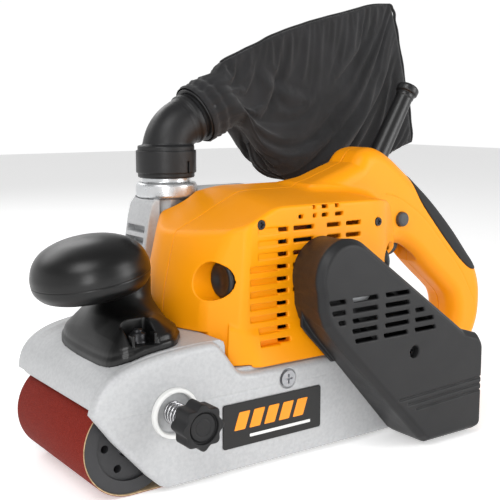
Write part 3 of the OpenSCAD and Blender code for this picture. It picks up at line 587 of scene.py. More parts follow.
def cover_field(x, y, z):
    p = (x, y, z)
    skin = pod_outer(*p)
    shell = both(less(skin, pod_outer(*p, 2.4)), y - (vent_y - 0.3), 0.5)
    post = ycyl(*p, COVER_SCREW, 6, pod_y + 2, -60)
    # inner wall, with a hole for the motor shaft; from x 104 to 150 it is the real wall, and from x 14 to 104
    # it is a dark sheet added as painted shade so that the slots look black
    inner = both(poly(x, z, POD_FRONT) + 1, block(*p, (14, -63.5, 62), (150, plate_y - 0.3, 112)))
    inner = np.maximum(inner, 8.5 - np.hypot(x - motor_x, z - motor_z))
    slots = []
    for zc, ends in POD_SLOTS:
        for a, b in zip(ends[::2], ends[1::2]):
            slot = both(slab(z, zc - 1.45, zc + 1.45), slab(x + 0.45 * (z - zc), a, b), 0.7)
            slots.append(both(slot, y - (pod_y + 5)))
    # three shallow grooves round the lower end
    for k in range(3):
        level = 41 - 4.6 * k - 0.035 * (154 - x)
        run = np.maximum(np.abs(z - level) - 0.75, 70 + 8 * k - x)
        slots.append(both(run, -(skin + 0.9), 0.4))
    cuts = any_of(
        both(z - 92, plate_y - 0.3 - y),
        ycyl(*p, COVER_SCREW, 4.2, -100, pod_y + 8, 0.4),
        ycyl(*p, COVER_SCREW, 2.1, -100, -50),
        *slots)
    return less(any_of(shell, post, inner), cuts, 0.3)


def make_cover(material):
    solid("drive_cover_shell", cover_field, (1, -97, 1.5), (155, -53, 151), FINE, material, "machine",
          ("drive_cover",))


# ---- turned and bent pieces

def softened(points, r, n=4, closed=False):
    """Profile with its corners rounded by about r."""
    p = [np.array(q, float) for q in points]
    out = []
    for i, q in enumerate(p):
        if not closed and i in (0, len(p) - 1):
            out.append(q)
            continue
        a, b = p[i - 1], p[(i + 1) % len(p)]
        da, db = a - q, b - q
        s = q + da * min(r / max(np.linalg.norm(da), 1e-9), 0.45)
        e = q + db * min(r / max(np.linalg.norm(db), 1e-9), 0.45)
        for t in np.linspace(0, 1, n):
            out.append((1 - t) ** 2 * s + 2 * t * (1 - t) * q + t ** 2 * e)
    return np.array(out)


def lathe(name, profile, origin, axis, material, body, stands_for=(), n=96, closed=False):
    """Profile of (radius, height) points turned about an axis."""
    w = Vector(axis).normalized()
    u = w.orthogonal().normalized()
    v = w.cross(u)
    a = np.arange(n) * 2 * math.pi / n
    p = np.asarray(profile, float)
    ring = np.cos(a)[:, None] * np.array(u) + np.sin(a)[:, None] * np.array(v)
    verts = np.array(origin) + p[:, 1, None, None] * np.array(w) + p[:, 0, None, None] * ring
    faces = grid_faces(len(p), n, closed)
    return place(mesh_object(name, verts.reshape(-1, 3), faces), material, body, stands_for)


def tube(name, path, radius, material, body, stands_for=(), n=12):
    """Round wire along a path, with flat ends."""
    p = np.asarray(path, float)
    t = np.gradient(p, axis=0)
    t /= np.linalg.norm(t, axis=1)[:, None]
    u = np.cross(t[0], (0.3, 0.2, 0.93))
    rings = []
    for q, d in zip(p, t):
        u = u - d * (u @ d)
        u /= np.linalg.norm(u)
        v = np.cross(d, u)
        a = np.arange(n) * 2 * math.pi / n
        rings.append(q + radius * (np.cos(a)[:, None] * u + np.sin(a)[:, None] * v))
    rings = [np.repeat(p[:1], n, 0)] + rings + [np.repeat(p[-1:], n, 0)]
    verts = np.concatenate(rings)
    return place(mesh_object(name, verts, grid_faces(len(rings), n)), material, body, stands_for)


def loop_path(r, n=40):
    """Path of the sanding belt at a distance r from both roller axes, as (x, z)."""
    c = (axle_x, axle_z)
    a = arc(c, r, -90, 90, n)
    b = arc((-c[0], c[1]), r, 90, 270, n)
    top = [(t, c[1] + r) for t in np.linspace(c[0], -c[0], 24)[1:-1]]
    low = [(t, c[1] - r) for t in np.linspace(-c[0], c[0], 24)[1:-1]]
    return np.array(a + top + b + low)


def band(name, r0, r1, half, edge, material, body, stands_for=()):
    """Endless belt between two distances from the roller axes."""
    section = softened([(r0, -half), (r1, -half), (r1, half), (r0, half)], edge, 3, True)
    rows = []
    for r, y in section:
        p = loop_path(r)
        rows.append(np.stack([p[:, 0], np.full(len(p), y), p[:, 1]], 1))
    verts = np.concatenate(rows)
    faces = grid_faces(len(rows), len(rows[0]), True, True)
    return place(mesh_object(name, verts, faces), material, body, stands_for)


# ---- tracking knob, label, belt

def make_tracking(mats):
    kx, kz = knob

    def lobed(x, y, z):
        radius = np.hypot(x - kx, z - kz)
        angle = np.arctan2(z - kz, x - kx)
        side = (radius - 12.9 - 1.1 * np.cos(8 * angle)) * 0.9
        d = both(side, slab(y, -95, -80), 1.3)
        d = less(d, ycyl(x, y, z, knob, 9.6, -99, -92.6), 0.5)
        d = either(d, ycyl(x, y, z, knob, 8.4, -93.6, -85, 0.6), 0.3)
        d = less(d, np.abs(np.hypot(radius - 5.2, y + 93.6)) - 0.35, 0.2)
        return less(d, ycyl(x, y, z, knob, 3.0, -89.9, -70))

    solid("knob_tracking", lobed, (kx - 15, -96, kz - 15), (kx + 15, -79, kz + 15),
          0.4, mats["knob"], "tracking_knob", ("tracking_knob",))
    rim = softened([(12.6, 0.1), (15.6, 0.1), (15.2, 3.4), (13.2, 3.7), (12.6, 2.8)], 0.6, 4, True)
    lathe("tracking_rim", rim, (kx, plate_y, kz), (0, -1, 0), mats["rim"], "machine", ("tracking_boss",),
          closed=True)
    turns = 6
    t = np.linspace(0, 1, turns * 28)
    a = t * turns * 2 * math.pi
    path = np.stack([kx + 6.2 * np.cos(a), -59.6 - 19.4 * t, kz + 6.2 * np.sin(a)], 1)
    tube("spring_tracking", path, 0.85, mats["spring"], "machine", ("tracking_spring",))


def plate_block(name, lo, hi, r, material, stands_for=(), shear=0.0):
    """Thin block on the side plate with rounded corners, sheared along X."""
    cx, cz = (lo[0] + hi[0]) / 2, (lo[2] + hi[2]) / 2
    hx, hz = (hi[0] - lo[0]) / 2, (hi[2] - lo[2]) / 2
    ring = []
    for sx, sz, a in ((1, 1, 0), (-1, 1, 90), (-1, -1, 180), (1, -1, 270)):
        ring += arc((sx * (hx - r), sz * (hz - r)), r, a, a + 90, 5)
    ring = np.array(ring)
    layers = []
    for y, grow in ((hi[1], 0.0), (lo[1] + 0.12, 0.0), (lo[1], -0.12)):
        g = ring * (1 + grow / np.maximum(np.abs([hx, hz]), 1e-6))
        layers.append(np.stack([cx + g[:, 0] + shear * g[:, 1], np.full(len(g), y), cz + g[:, 1]], 1))
    layers.append(np.repeat([[cx, lo[1], cz]], len(ring), 0))
    faces = grid_faces(len(layers), len(ring))
    return place(mesh_object(name, np.concatenate(layers), faces, False), material, "machine", stands_for)


def make_label(mats):
    plate_block("label", (-46, plate_y - 0.6, 18.5), (32, plate_y + 0.4, 47), 1.6, mats["label"],
                ("label_plate",))
    for k in range(5):
        x = -36 + 11.6 * k
        plate_block(f"label_bar_{k}", (x, plate_y - 0.85, 29.5), (x + 8.4, plate_y - 0.5, 41), 0.7,
                    mats["stripe"], shear=0.35)
    plate_block("label_line", (-26, plate_y - 0.85, 23.4), (23, plate_y - 0.5, 25.4), 0.5, mats["rim"])


def make_belt(mats):
    band("belt_cloth", 30.3, 31.0, 50.0, 0.15, mats["cloth"], "machine", ("sanding_belt",))
    band("belt_grit", 30.98, 31.3, 49.9, 0.1, mats["grit"], "machine", ())


# ---- front grip

GRIP_AXIS = (math.sin(math.radians(-9)), 0, math.cos(math.radians(-9)))
GRIP_FOOT = list(curve([(-99, 39), (-107, 36), (-112.5, 27), (-115, 13), (-116, -8), (-116, -32), (-114, -45),
                        (-106, -52.5), (-94, -53), (-80, -53), (-72.5, -50), (-66, -42), (-60.5, -34),
                        (-59, -20),
                        (-59, 10), (-59.5, 30), (-64, 37.5), (-74, 39)], 3, True))


def deck_top(x):
    """Height of the deck's outer face."""
    at, height = zip(DECK_TOP[0], *DECK_TOP[2:])
    return np.interp(x, at, height)


def grip_base_field(x, y, z):
    out = poly(x, y, GRIP_FOOT)
    rise = z - deck_top(x)
    rim = both(out, rise - 5.0, 1.8)
    skirt = both(out + 1.6, out * 0.62 + (rise - 6.4) * 0.78, 1.5)
    skirt = both(skirt, z - 104, 2)
    foot = either(rim, skirt, 1.0)
    neck = np.maximum(np.hypot(x + 80, y) - 16.4 - 0.10 * np.clip(108 - z, 0, 30), slab(z, 80, 123.4))
    d = either(foot, neck, 15)
    # pocket of the clamp bolt
    px, py = x - CLAMP_BOLT[0], y - CLAMP_BOLT[1]
    pocket = both(both(slab(px, -8.6, 8.6), slab(py, -13, 7.4), 2.0), 91 - z)
    d = less(d, pocket, 0.8)
    for s in (-1, 1):
        rib = both(both(slab(px - s * 7.4, -0.9, 0.9), slab(py, -9, -3)), z - 97.5, 0.4)
        d = np.minimum(d, both(rib, 90 - z))
    return np.maximum(d, 0.25 - rise)


def make_grip(mats):
    solid("grip_foot", grip_base_field, (-118, -55, 74), (-56, 41, 125), 0.75,
          mats["grip"], "machine", ("grip_base",))
    outline = curve([(15.5, 2.3), (25, 1.5), (32, 3.2), (36.3, 7.8), (37.4, 12.2)], 6)
    upper = curve([(37.5, 13.6), (37.1, 18.5), (34.4, 25.4), (29.2, 31), (21, 35), (11.5, 37.2),
                   (0.01, 38)], 6)
    seam = [(37.4, 12.6), (36.9, 12.9), (37.4, 13.2)]
    profile = list(outline) + seam + list(upper)
    lathe("grip_ball", profile, (-101.5, 0, 113.5), GRIP_AXIS, mats["grip"], "machine", ("grip_knob",),
          n=128)
    # a hex nut is a turned profile with six sides
    nut = [(5.6, 0), (5.6, 1.2), (5.2, 1.4), (5.2, 5.2), (4.6, 5.8), (3.0, 6.0), (3.0, 7.4), (2.4, 8.0),
           (0.01, 8.1)]
    lathe("grip_clamp_bolt", nut, (*CLAMP_BOLT, 91.2), (0, 0, 1), mats["screw"], "machine", ("grip_bolt",),
          n=6)


# ---- fan housing, pipe and elbow

FAN_SCREWS = ((-30, 84), (90, 82), (78, 152))
GRILLE_X = 26
FAN = [(-42, 93), (-41.4, 112), (-40.4, 131), (-37, 152), (-34.4, 162), (-28.5, 168.4), (-10, 171.5),
       (60, 171.5),
       (76, 166.5), (88, 153), (96.5, 137), (100, 118), (100, 68.2), (-36, 68.2)]


def fan_field(x, y, z):
    """Cast fan housing on the far side, with two intake grilles and the seat of the dust pipe."""
    p = (x, y, z)
    outline = poly(x, z, FAN)
    slope = (outline + (y - 82) + 4.2) * 0.7071
    outer = both(both(both(outline, slope, 3), y - 82, 2.2), seam_y + 0.1 - y, 0.8)
    tower = zcyl(*p, pipe, 20.5, 140, 165.7, 1.2)
    outer = either(outer, both(tower, 72 - z), 6)
    rim = both(np.abs(outline + 9.5) - 1.0, slab(y, 80, 82.9), 0.5)
    outer = either(outer, rim, 0.6)
    boss = ycyl(*p, MOTOR, 15, 70, 84.5, 2.0)
    outer = either(outer, boss, 2.0)
    grilles = [motor_x + s * GRILLE_X for s in (-1, 1)]
    for gx in grilles:
        for k in range(-1, 2):
            face = both(slab(x, gx - 9, gx + 9), slab(z, motor_z + 22 * k - 9.5, motor_z + 22 * k + 9.5))
            outer = either(outer, both(face, slab(y, 78, 82.7), 0.6), 0.4)
    slots = [block(*p, (-52, 49.5, 118 + 8 * k), (-31, 76, 122.8 + 8 * k), 1.0) for k in range(4)]
    for k in range(7):
        zc = motor_z - 20.5 + 7 * k
        slots += [block(*p, (gx - 7, 69, zc - 1.5), (gx + 7, 90, zc + 1.5), 0.9) for gx in grilles]
    for at in FAN_SCREWS:
        slots += [ycyl(*p, at, 1.8, 50, 90), ycyl(*p, at, 3.7, 77.4, 90, 0.3)]
    cuts = any_of(
        # fan chamber, its mouth, and the bearing with its shaft
        ycyl(*p, MOTOR, 40, 48, 70),
        ycyl(*p, MOTOR, 24, 40, 50),
        ycyl(*p, MOTOR, 11, 71, 78),
        ycyl(*p, MOTOR, 7, 68, 79.5),
        # way up into the dust pipe
        zcyl(*p, pipe, 14, 98, 155),
        zcyl(*p, pipe, 17.5, 150, 190),
        zcyl(*p, pipe, 22.3, 165.6, 190),
        *slots,
        block(*p, (84, 50, 60), (97, 62, 110)),
        block(*p, (70, 50, 94), (96, 66, 110)))
    return less(outer, cuts, 0.5)


TILT = math.radians(26.6)
BEND = 24.0
OUTLET = (pipe[0] + BEND * (1 - math.sin(TILT)), pipe[1], 197 + BEND * math.cos(TILT))
OUT_DIR = (math.cos(TILT), 0.0, math.sin(TILT))


def along_outlet(x, y, z):
    """Distance along the outlet and distance from its axis."""
    s = (x - OUTLET[0]) * OUT_DIR[0] + (z - OUTLET[2]) * OUT_DIR[2]
    across = np.hypot((z - OUTLET[2]) * OUT_DIR[0] - (x - OUTLET[0]) * OUT_DIR[2], y - OUTLET[1])
    return s, across


def elbow_field(x, y, z):
    s, across = along_outlet(x, y, z)
    ring = np.hypot(np.hypot(x - pipe[0] - BEND, z - 197) - BEND, y - pipe[1])
    turn = np.maximum(197 - z, s)
    low = np.hypot(x - pipe[0], y - pipe[1])
    outer = both(ring - 17.4, turn)
    outer = either(outer, both(low - 20.4, slab(z, 180, 203), 1.2), 1.6)
    outer = np.minimum(outer, both(across - 17.5, slab(s, -0.6, 30)))
    outer = either(outer, both(across - 18.7, slab(s, 4.5, 9), 0.8), 0.8)
    outer = less(outer, np.abs(np.hypot(across - 17.8, s - 1.5)) - 0.5, 0.3)
    inner = np.minimum(both(ring - 14.4, turn), both(across - 14.8, slab(s, -0.8, 60)))
    inner = np.minimum(inner, both(low - 17.6, slab(z, 150, 200.5)))
    return less(outer, inner, 0.4)


def make_dust_path(mats):
    solid("fan_casting", fan_field, (-43, 45, 67), (101, 85.5, 173), FINE, mats["cast"], "machine",
          ("fan_housing",))
    ring = softened([(15, 156), (17.4, 156), (17.4, 165.9), (20.6, 165.9), (22, 167.4), (22, 175.2),
                     (20.8, 176.8),
                     (17.8, 176.8), (17.4, 178.5), (17.4, 200), (15, 200)], 0.9, 5, True)
    lathe("outlet_pipe", ring, (pipe[0], pipe[1], 0), (0, 0, 1), mats["pipe"], "machine", ("dust_pipe",),
          closed=True)
    solid("elbow_turning", elbow_field, (-36, 39, 179), (28, 82, 252), 0.8,
          mats["hose"],
          "dust_elbow", ("dust_elbow",))

    def sleeve(x, y, z):
        low = np.hypot(x - pipe[0], y - pipe[1])
        d = both(np.maximum(low - 21.7, 20.45 - low), slab(z, 183.5, 199.5), 0.5)
        return less(d, block(x, y, z, (pipe[0] + 5, 30, 180), (pipe[0] + 7, 45, 192)), 0.2)

    solid("elbow_sleeve", sleeve, (-36, 38, 183), (9, 82, 200), 0.6, mats["hose"],
          "dust_elbow", ("elbow_band",))


# ---- controls and cord guard

def make_controls(mats):
    solid("handle_insert", insert_field, (152, -18, 95), (242, 18, 182), FINE, mats["rubber"], "machine",
          ("rear_grip",))
    lever = list(curve([(131, 134), (137, 139), (147, 136), (153, 128), (151, 121), (145, 117.5),
                        (139, 118.5),
                        (133, 125)], 4, True))

    def trigger_field(x, y, z):
        d = prism(x, y, z, lever, -9, 9, 2.2)
        return np.minimum(d, ycyl(x, y, z, TRIGGER_PIVOT, 1.95, -12.2, 12.2, 0.3))

    solid("trigger_lever", trigger_field, (128, -13, 103), (170, 13, 141), 0.6,
          mats["black"],
          "trigger", ("trigger",))
    dome = softened([(0.01, 8.6), (3.6, 8.5), (5.3, 7.6), (5.42, 6.8), (5.42, 0.2), (0.01, 0.2)], 0.6,
                    5)[::-1]
    lathe("button_lock", dome, (146, -13.2, 146), (0, -1, 0), mats["button"], "lock_button", ("lock_button",),
          n=48)
    guard = softened([(4.0, 12), (8.4, 12), (8.4, 25.5), (7.7, 26.5), (6.7, 80.5), (7.2, 81.0), (7.2, 83.2),
                      (6.9, 84.0), (8.6, 84.9), (8.8, 88.9), (7.6, 90.5), (4.0, 90.5)], 0.7, 5, True)
    lathe("guard_sleeve", guard, GUARD_FOOT, GUARD_DIR, mats["guard"], "machine",
          ("cord_guard",), n=64, closed=True)

    def lever_field(x, y, z):
        d = both(np.hypot(x + 34, y - 34) - 7, slab(z, 25, 38), 0.8)
        d = either(d, block(x, y, z, (-34, 34, 27), (14, 40, 36), 0.8), 1.5)
        tip = both(np.hypot(x - 12, y - 42) - 5, slab(z, 27, 36), 0.8)
        d = either(d, tip, 1.5)
        return less(d, zcyl(x, y, z, (-34, 34), 3.0, 20, 44), 0.2)

    solid("lever_tension", lever_field, (-42, 26, 24), (18, 48, 39), 0.7,
          mats["steel"],
          "tension_lever", ("tension_lever",))


# ---- dust bag

# seams of the bag, in X and Z
TOP_EDGE = [(27, 254), (34, 262.5), (52, 271), (66, 277), (84, 285), (118, 296), (155, 305.5),
            (182, 312.5), (204, 314.5)]
LOW_EDGE = [(39, 215.5), (47, 216), (55, 209), (61, 199), (66, 187), (80, 179), (105, 176), (140, 180),
            (180, 188),
            (214, 196), (233, 201)]
# sculpted creases: path in X and Z, half width, height
FOLDS = [
    (((60, 272), (75, 261), (94, 254.5), (116, 248)), 4.0, -3.6),
    (((58, 266), (74, 255), (93, 248), (112, 242)), 6.0, 2.6),
    (((134, 256), (160, 277), (187, 300)), 3.4, -2.6),
    (((128, 262), (154, 284), (180, 305)), 6.0, 2.2),
    (((155, 254), (177, 262), (204, 275)), 3.0, -2.4),
    (((66, 178), (101, 194), (135, 220), (186, 260)), 3.6, -3.6),
    (((60, 186), (94, 203), (128, 229), (172, 262)), 6.0, 2.8),
    (((84, 180), (119, 198), (156, 226), (196, 262)), 5.0, 2.6),
    (((104, 178), (138, 196), (172, 226), (204, 258)), 3.0, -3.0),
    (((46, 219), (62, 229), (75, 246), (82, 262)), 4.0, -3.0),
    (((186, 260), (166, 226), (150, 200)), 3.2, -2.4),
    (((205, 262), (212, 240), (222, 214)), 3.4, -2.6),
    (((40, 232), (70, 238), (104, 236)), 6.0, 1.8),
]


def along_edge(points, t):
    """Points at shares t of an edge's length."""
    p = curve(points, 8)
    run = np.concatenate([[0], np.cumsum(np.hypot(*np.diff(p, axis=0).T))])
    return np.stack([np.interp(t * run[-1], run, p[:, i]) for i in (0, 1)], 1)


def fold_height(x, z, k):
    """Sculpted creases of one bag face; the far face has them moved and softened."""
    h = np.zeros_like(x)
    for pts, width, height in FOLDS:
        path = curve(pts, 6) + (np.array([9.0, -7.0]) if k else 0.0)
        d = np.full(x.shape, 1e9)
        along = np.zeros_like(x)
        for i, (a, b) in enumerate(zip(path[:-1], path[1:])):
            e = b - a
            t = np.clip(((x - a[0]) * e[0] + (z - a[1]) * e[1]) / (e @ e), 0, 1)
            dist = np.hypot(x - a[0] - t * e[0], z - a[1] - t * e[1])
            along = np.where(dist < d, (i + t) / (len(path) - 1), along)
            d = np.minimum(d, dist)
        h += 1.35 * height * np.exp(-(d / width) ** 2) * np.sin(math.pi * np.clip(along, 0.04, 0.96)) ** 0.5
    return h * (0.7 if k else 1.0)


def bag_shape(nu, nv):
    """Rows of points round the bag, from its cuff on the ring to the sewn far end."""
    rows = []
    centre = np.array(OUTLET)
    d, side = np.array(OUT_DIR), np.array([-OUT_DIR[2], 0, OUT_DIR[0]])
    phi = np.arange(nv) * 2 * math.pi / nv
    for s in np.linspace(13, 31, 12):
        gather = 0.55 * np.sin(11 * phi + 1.0) * np.sin(3 * phi) + 0.35 * np.sin(17 * phi)
        swell = 0.9 * math.sin((s - 13) * 0.7) + 0.03 * (s - 13)
        r = 21.6 + swell + gather * min(1.0, (s - 12) / 6)
        round_cuff = -np.cos(phi)[:, None] * side + np.sin(phi)[:, None] * np.array([0, -1, 0])
        rows.append(centre + d * s + r[:, None] * round_cuff)
    u = np.linspace(0, 1, nu) ** 0.92
    top, low = along_edge(TOP_EDGE, u), along_edge(LOW_EDGE, u)
    share = (1 - np.cos(phi)) / 2
    for i in range(1, nu):
        t = u[i]
        ease = min(1.0, t / 0.16)
        # half the bag's thickness: full at the middle and closed at the far end
        half = 22.0 + 3.5 * math.sin(math.pi * min(1, t * 1.2)) - 3.0 * t
        half *= math.sqrt(max(1e-4, 1 - ((t - 0.55) / 0.45) ** 4)) if t > 0.55 else 1.0
        x = low[i, 0] + (top[i, 0] - low[i, 0]) * share
        z = low[i, 1] + (top[i, 1] - low[i, 1]) * share
        lift = np.abs(np.sin(phi)) ** (1.0 - 0.25 * ease) * half
        far = (np.sin(phi) < 0).astype(int)
        crease = np.where(far == 0, fold_height(x, z, 0), fold_height(x, z, 1))
        lift = np.maximum(lift + crease * ease * np.minimum(1, lift / 9), 0.25)
        y = pipe[1] - np.sign(np.sin(phi) + 1e-9) * lift
        rows.append(np.stack([x, y, z], 1))
    return np.array(rows)


def make_bag(mats):
    nu, nv = ((130, 168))
    rows = bag_shape(nu, nv)
    n, m = rows.shape[1], len(rows)
    verts = rows.reshape(-1, 3)
    faces = grid_faces(m, n, False, True)
    # the far end is sewn shut: its last row closes face to face
    half = n // 2
    k = np.arange(half)
    last = (m - 1) * n
    cap = np.stack([last + k, last + (n - k) % n, last + (n - k - 1) % n, last + k + 1], 1)
    o = mesh_object("bag_fabric", verts, np.concatenate([faces, cap]))
    pins = o.vertex_groups.new(name="pins")
    row = np.repeat(np.arange(m), n)
    phi = np.tile(np.arange(n) * 2 * math.pi / n, m)
    weight = np.where(row < 12, 1.0, 0.0)
    weight = np.maximum(weight, np.clip(1.25 - np.abs(np.sin(phi)) * 7, 0, 1))
    weight = np.maximum(weight, np.where(row >= m - 2, 1.0, 0.0))
    for w in np.unique(np.round(weight, 2)):
        pins.add([int(v) for v in np.nonzero(np.round(weight, 2) == w)[0]], float(w), "REPLACE")
    scene = bpy.context.scene
    frames = 26
    scene.frame_start, scene.frame_end = 1, frames
    cloth = o.modifiers.new("cloth", "CLOTH")
    c = cloth.settings
    c.quality = 6
    c.mass = 0.3
    c.vertex_group_mass = "pins"
    c.tension_stiffness = c.compression_stiffness = 22
    c.shear_stiffness = 9
    c.bending_stiffness = 0.25
    c.shrink_min = -0.035
    c.use_pressure = True
    c.uniform_pressure_force = 0.12
    c.effector_weights.gravity = 0.35
    cloth.collision_settings.use_collision = False
    cloth.point_cache.frame_start, cloth.point_cache.frame_end = 1, frames
    for f in range(1, frames + 1):
        scene.frame_set(f)
    settled = bpy.data.meshes.new_from_object(o.evaluated_get(bpy.context.evaluated_depsgraph_get()))
    o.modifiers.clear()
    o.data = settled
    scene.frame_set(1)
    place(o, mats["fabric"], "dust_bag", ("dust_bag",))
    o.data.polygons.foreach_set("use_smooth", np.full(len(o.data.polygons), True))
    # piping sewn along the edges
    top = along_edge(TOP_EDGE, np.linspace(0.06, 1, 60))
    low = along_edge(LOW_EDGE, np.linspace(0.12, 1, 60))
    end = curve([tuple(top[-1]), (208.5, 309), (212.5, 294), (220.5, 262), (231, 224), tuple(low[-1])], 8)
    path = np.concatenate([top, end[1:-1], low[::-1]])
    step = np.arange(len(path))
    wave = 0.5 * np.sin(step * 0.9) + 0.3 * np.sin(step * 0.37)
    tube("bag_piping", np.stack([path[:, 0], pipe[1] + wave, path[:, 1]], 1), 1.3, mats["fabric"], "dust_bag",
         (), n=10)
    ring = softened([(17.6, 12), (20.4, 12), (20.4, 26), (17.6, 26)], 0.6, 4, True)
    lathe("ring_of_bag", ring, OUTLET, OUT_DIR, mats["black"], "dust_bag", ("bag_ring",),
          closed=True)


# ---- finishes

def linear(c):
    """sRGB 0-255 to linear RGBA."""
    v = np.array(c, float) / 255
    v = np.where(v <= 0.04045, v / 12.92, ((v + 0.055) / 1.055) ** 2.4)
    return (*v, 1.0)


def set_inputs(node, values):
    for key, value in values.items():
        node.inputs[key].default_value = value


def finish(name, colour, rough=0.5, metal=0.0, grain=None, mottle=None, sheen=0.0, level=0.5, wear=None):
    """Procedural material.

    grain = (bumps per metre, strength, depth in metres), mottle = (spots per metre, second colour, share),
    wear = (marks per metre, change of roughness)."""
    m = bpy.data.materials.new(name)
    m.use_nodes = True
    t = m.node_tree
    b = t.nodes["Principled BSDF"]
    set_inputs(b, {"Base Color": linear(colour), "Roughness": rough, "Metallic": metal,
                   "Specular IOR Level": level, "Coat Roughness": 0.15,
                   "Sheen Weight": sheen, "Sheen Roughness": 0.5})
    at = t.nodes.new("ShaderNodeTexCoord")

    def noise(scale, detail=2.0, rough_n=0.5):
        n = t.nodes.new("ShaderNodeTexNoise")
        set_inputs(n, {"Scale": scale, "Detail": detail, "Roughness": rough_n})
        t.links.new(at.outputs["Object"], n.inputs["Vector"])
        return n.outputs["Fac"]

    if mottle:
        mix = t.nodes.new("ShaderNodeMix")
        mix.data_type = "RGBA"
        mix.inputs["A"].default_value = linear(colour)
        mix.inputs["B"].default_value = linear(mottle[1])
        fac = t.nodes.new("ShaderNodeMapRange")
        set_inputs(fac, {"From Min": 0.38, "From Max": 0.66, "To Max": mottle[2]})
        t.links.new(noise(mottle[0], 3.0), fac.inputs["Value"])
        t.links.new(fac.outputs["Result"], mix.inputs["Factor"])
        t.links.new(mix.outputs["Result"], b.inputs["Base Color"])
    if wear:
        span = t.nodes.new("ShaderNodeMapRange")
        set_inputs(span, {"From Min": 0.3, "From Max": 0.7, "To Min": rough - wear[1],
                          "To Max": rough + wear[1]})
        t.links.new(noise(wear[0], 4.0, 0.6), span.inputs["Value"])
        t.links.new(span.outputs["Result"], b.inputs["Roughness"])
    if grain:
        bump = t.nodes.new("ShaderNodeBump")
        set_inputs(bump, {"Strength": grain[1], "Distance": grain[2]})
        t.links.new(noise(grain[0], 3.0), bump.inputs["Height"])
        t.links.new(bump.outputs["Normal"], b.inputs["Normal"])
    return m


def make_finishes():
    return {
        "yellow": finish("shell_orange_yellow", (250, 156, 3), 0.42, grain=(1400, 0.12, 0.0002),
                         wear=(40, 0.05),
                         mottle=(9, (246, 151, 2), 0.6), level=0.25),
        "cast": finish("painted_casting", (186, 187, 188), 0.45, 0.1, grain=(900, 0.22, 0.0003),
                       wear=(60, 0.06),
                       mottle=(500, (172, 173, 175), 0.6), level=0.3),
        "cover": finish("charcoal_plastic", (33, 33, 34), 0.5, grain=(1800, 0.3, 0.0002), wear=(50, 0.06),
                        level=0.3),
        "grip": finish("satin_black_grip", (12, 12, 12), 0.34, grain=(1500, 0.14, 0.0002), wear=(30, 0.06),
                       level=0.4),
        "rubber": finish("black_rubber", (27, 27, 28), 0.62, grain=(1600, 0.35, 0.0002), level=0.35),
        "guard": finish("cord_guard_rubber", (20, 20, 21), 0.34, grain=(1200, 0.12, 0.0002), level=0.5),
        "hose": finish("elbow_plastic", (28, 28, 29), 0.42, grain=(900, 0.25, 0.0002), wear=(60, 0.08),
                       level=0.35),
        "knob": finish("knob_plastic", (30, 30, 31), 0.5, grain=(1500, 0.25, 0.0002), level=0.3),
        "black": finish("black_plastic", (24, 24, 25), 0.45, grain=(1500, 0.2, 0.0002)),
        "button": finish("button_plastic", (66, 67, 69), 0.5, grain=(1500, 0.2, 0.0002)),
        "rim": finish("white_plastic", (226, 226, 224), 0.45, grain=(1500, 0.1, 0.0002)),
        "label": finish("label_black", (9, 9, 9), 0.3, grain=(2500, 0.05, 0.0001)),
        "stripe": finish("label_orange", (250, 150, 12), 0.4, grain=(2500, 0.05, 0.0001)),
        "spring": finish("bright_spring", (186, 186, 188), 0.26, 0.95, wear=(300, 0.06)),
        "steel": finish("machined_steel", (170, 171, 174), 0.32, 0.9, grain=(1200, 0.1, 0.0001),
                        wear=(150, 0.08)),
        "bearing": finish("bearing_steel", (190, 191, 194), 0.22, 0.95, wear=(200, 0.05)),
        "pipe": finish("drawn_aluminium", (204, 206, 208), 0.3, 0.75, grain=(700, 0.1, 0.0002),
                       wear=(90, 0.08)),
        "screw": finish("dark_screw", (46, 46, 48), 0.36, 0.7, grain=(1500, 0.15, 0.0001)),
        "grit": finish("brick_red_grit", (104, 20, 12), 0.75, grain=(1500, 1.0, 0.0006),
                       mottle=(1900, (150, 48, 32), 0.75), level=0.15),
        "cloth": finish("belt_cloth", (196, 168, 128), 0.85, grain=(2200, 0.5, 0.0003),
                        mottle=(300, (120, 96, 66), 0.6),
                        sheen=0.2),
        "fabric": finish("charcoal_fabric", (34, 34, 35), 0.86, grain=(2600, 0.6, 0.0004),
                         mottle=(60, (43, 43, 45), 0.6), sheen=0.15, level=0.2),
        "cork": finish("cork_graphite", (74, 66, 58), 0.8, grain=(800, 0.6, 0.0004),
                       mottle=(700, (120, 98, 72), 0.7)),
        "roller": finish("roller_plastic", (47, 47, 49), 0.5, grain=(1200, 0.25, 0.0002), wear=(80, 0.08)),
        "sleeve": finish("rubber_sleeve", (40, 32, 27), 0.75, grain=(900, 0.4, 0.0003)),
        "copper": finish("enamelled_copper", (158, 78, 36), 0.35, 0.8, grain=(1300, 0.6, 0.0004)),
        "core": finish("stacked_laminations", (92, 94, 98), 0.5, 0.7, grain=(900, 0.4, 0.0003)),
        "brass": finish("brass", (196, 154, 74), 0.3, 0.95, wear=(200, 0.06)),
        "carbon": finish("carbon", (22, 22, 23), 0.7, grain=(900, 0.4, 0.0003)),
        "gear": finish("hobbed_steel", (120, 121, 124), 0.35, 0.9, wear=(300, 0.08)),
        "case": finish("case_alloy", (176, 178, 180), 0.45, 0.6, grain=(900, 0.3, 0.0003)),
    }


SLOT_FINISH = {
    "platen_steel": "steel", "pad_cork": "cork", "bearing_steel": "bearing", "case_alloy": "case",
    "zinc_screws": "steel", "belt_rubber": "rubber", "black_screws": "screw", "spring_steel": "spring",
    "pin_steel": "steel", "soft_black": "rubber", "switch_plastic": "black", "laminations": "core",
    "copper_coils": "copper", "brass_parts": "brass", "carbon": "carbon", "cap_black": "black",
    "yoke_cast": "case", "roller_plastic": "roller", "core_alloy": "case", "sleeve_rubber": "sleeve",
    "gear_steel": "gear", "pulley_alloy": "case", "copper_segments": "copper", "fan_plastic": "black",
    "cast_frame": "cast", "fan_case_alloy": "cast",
}


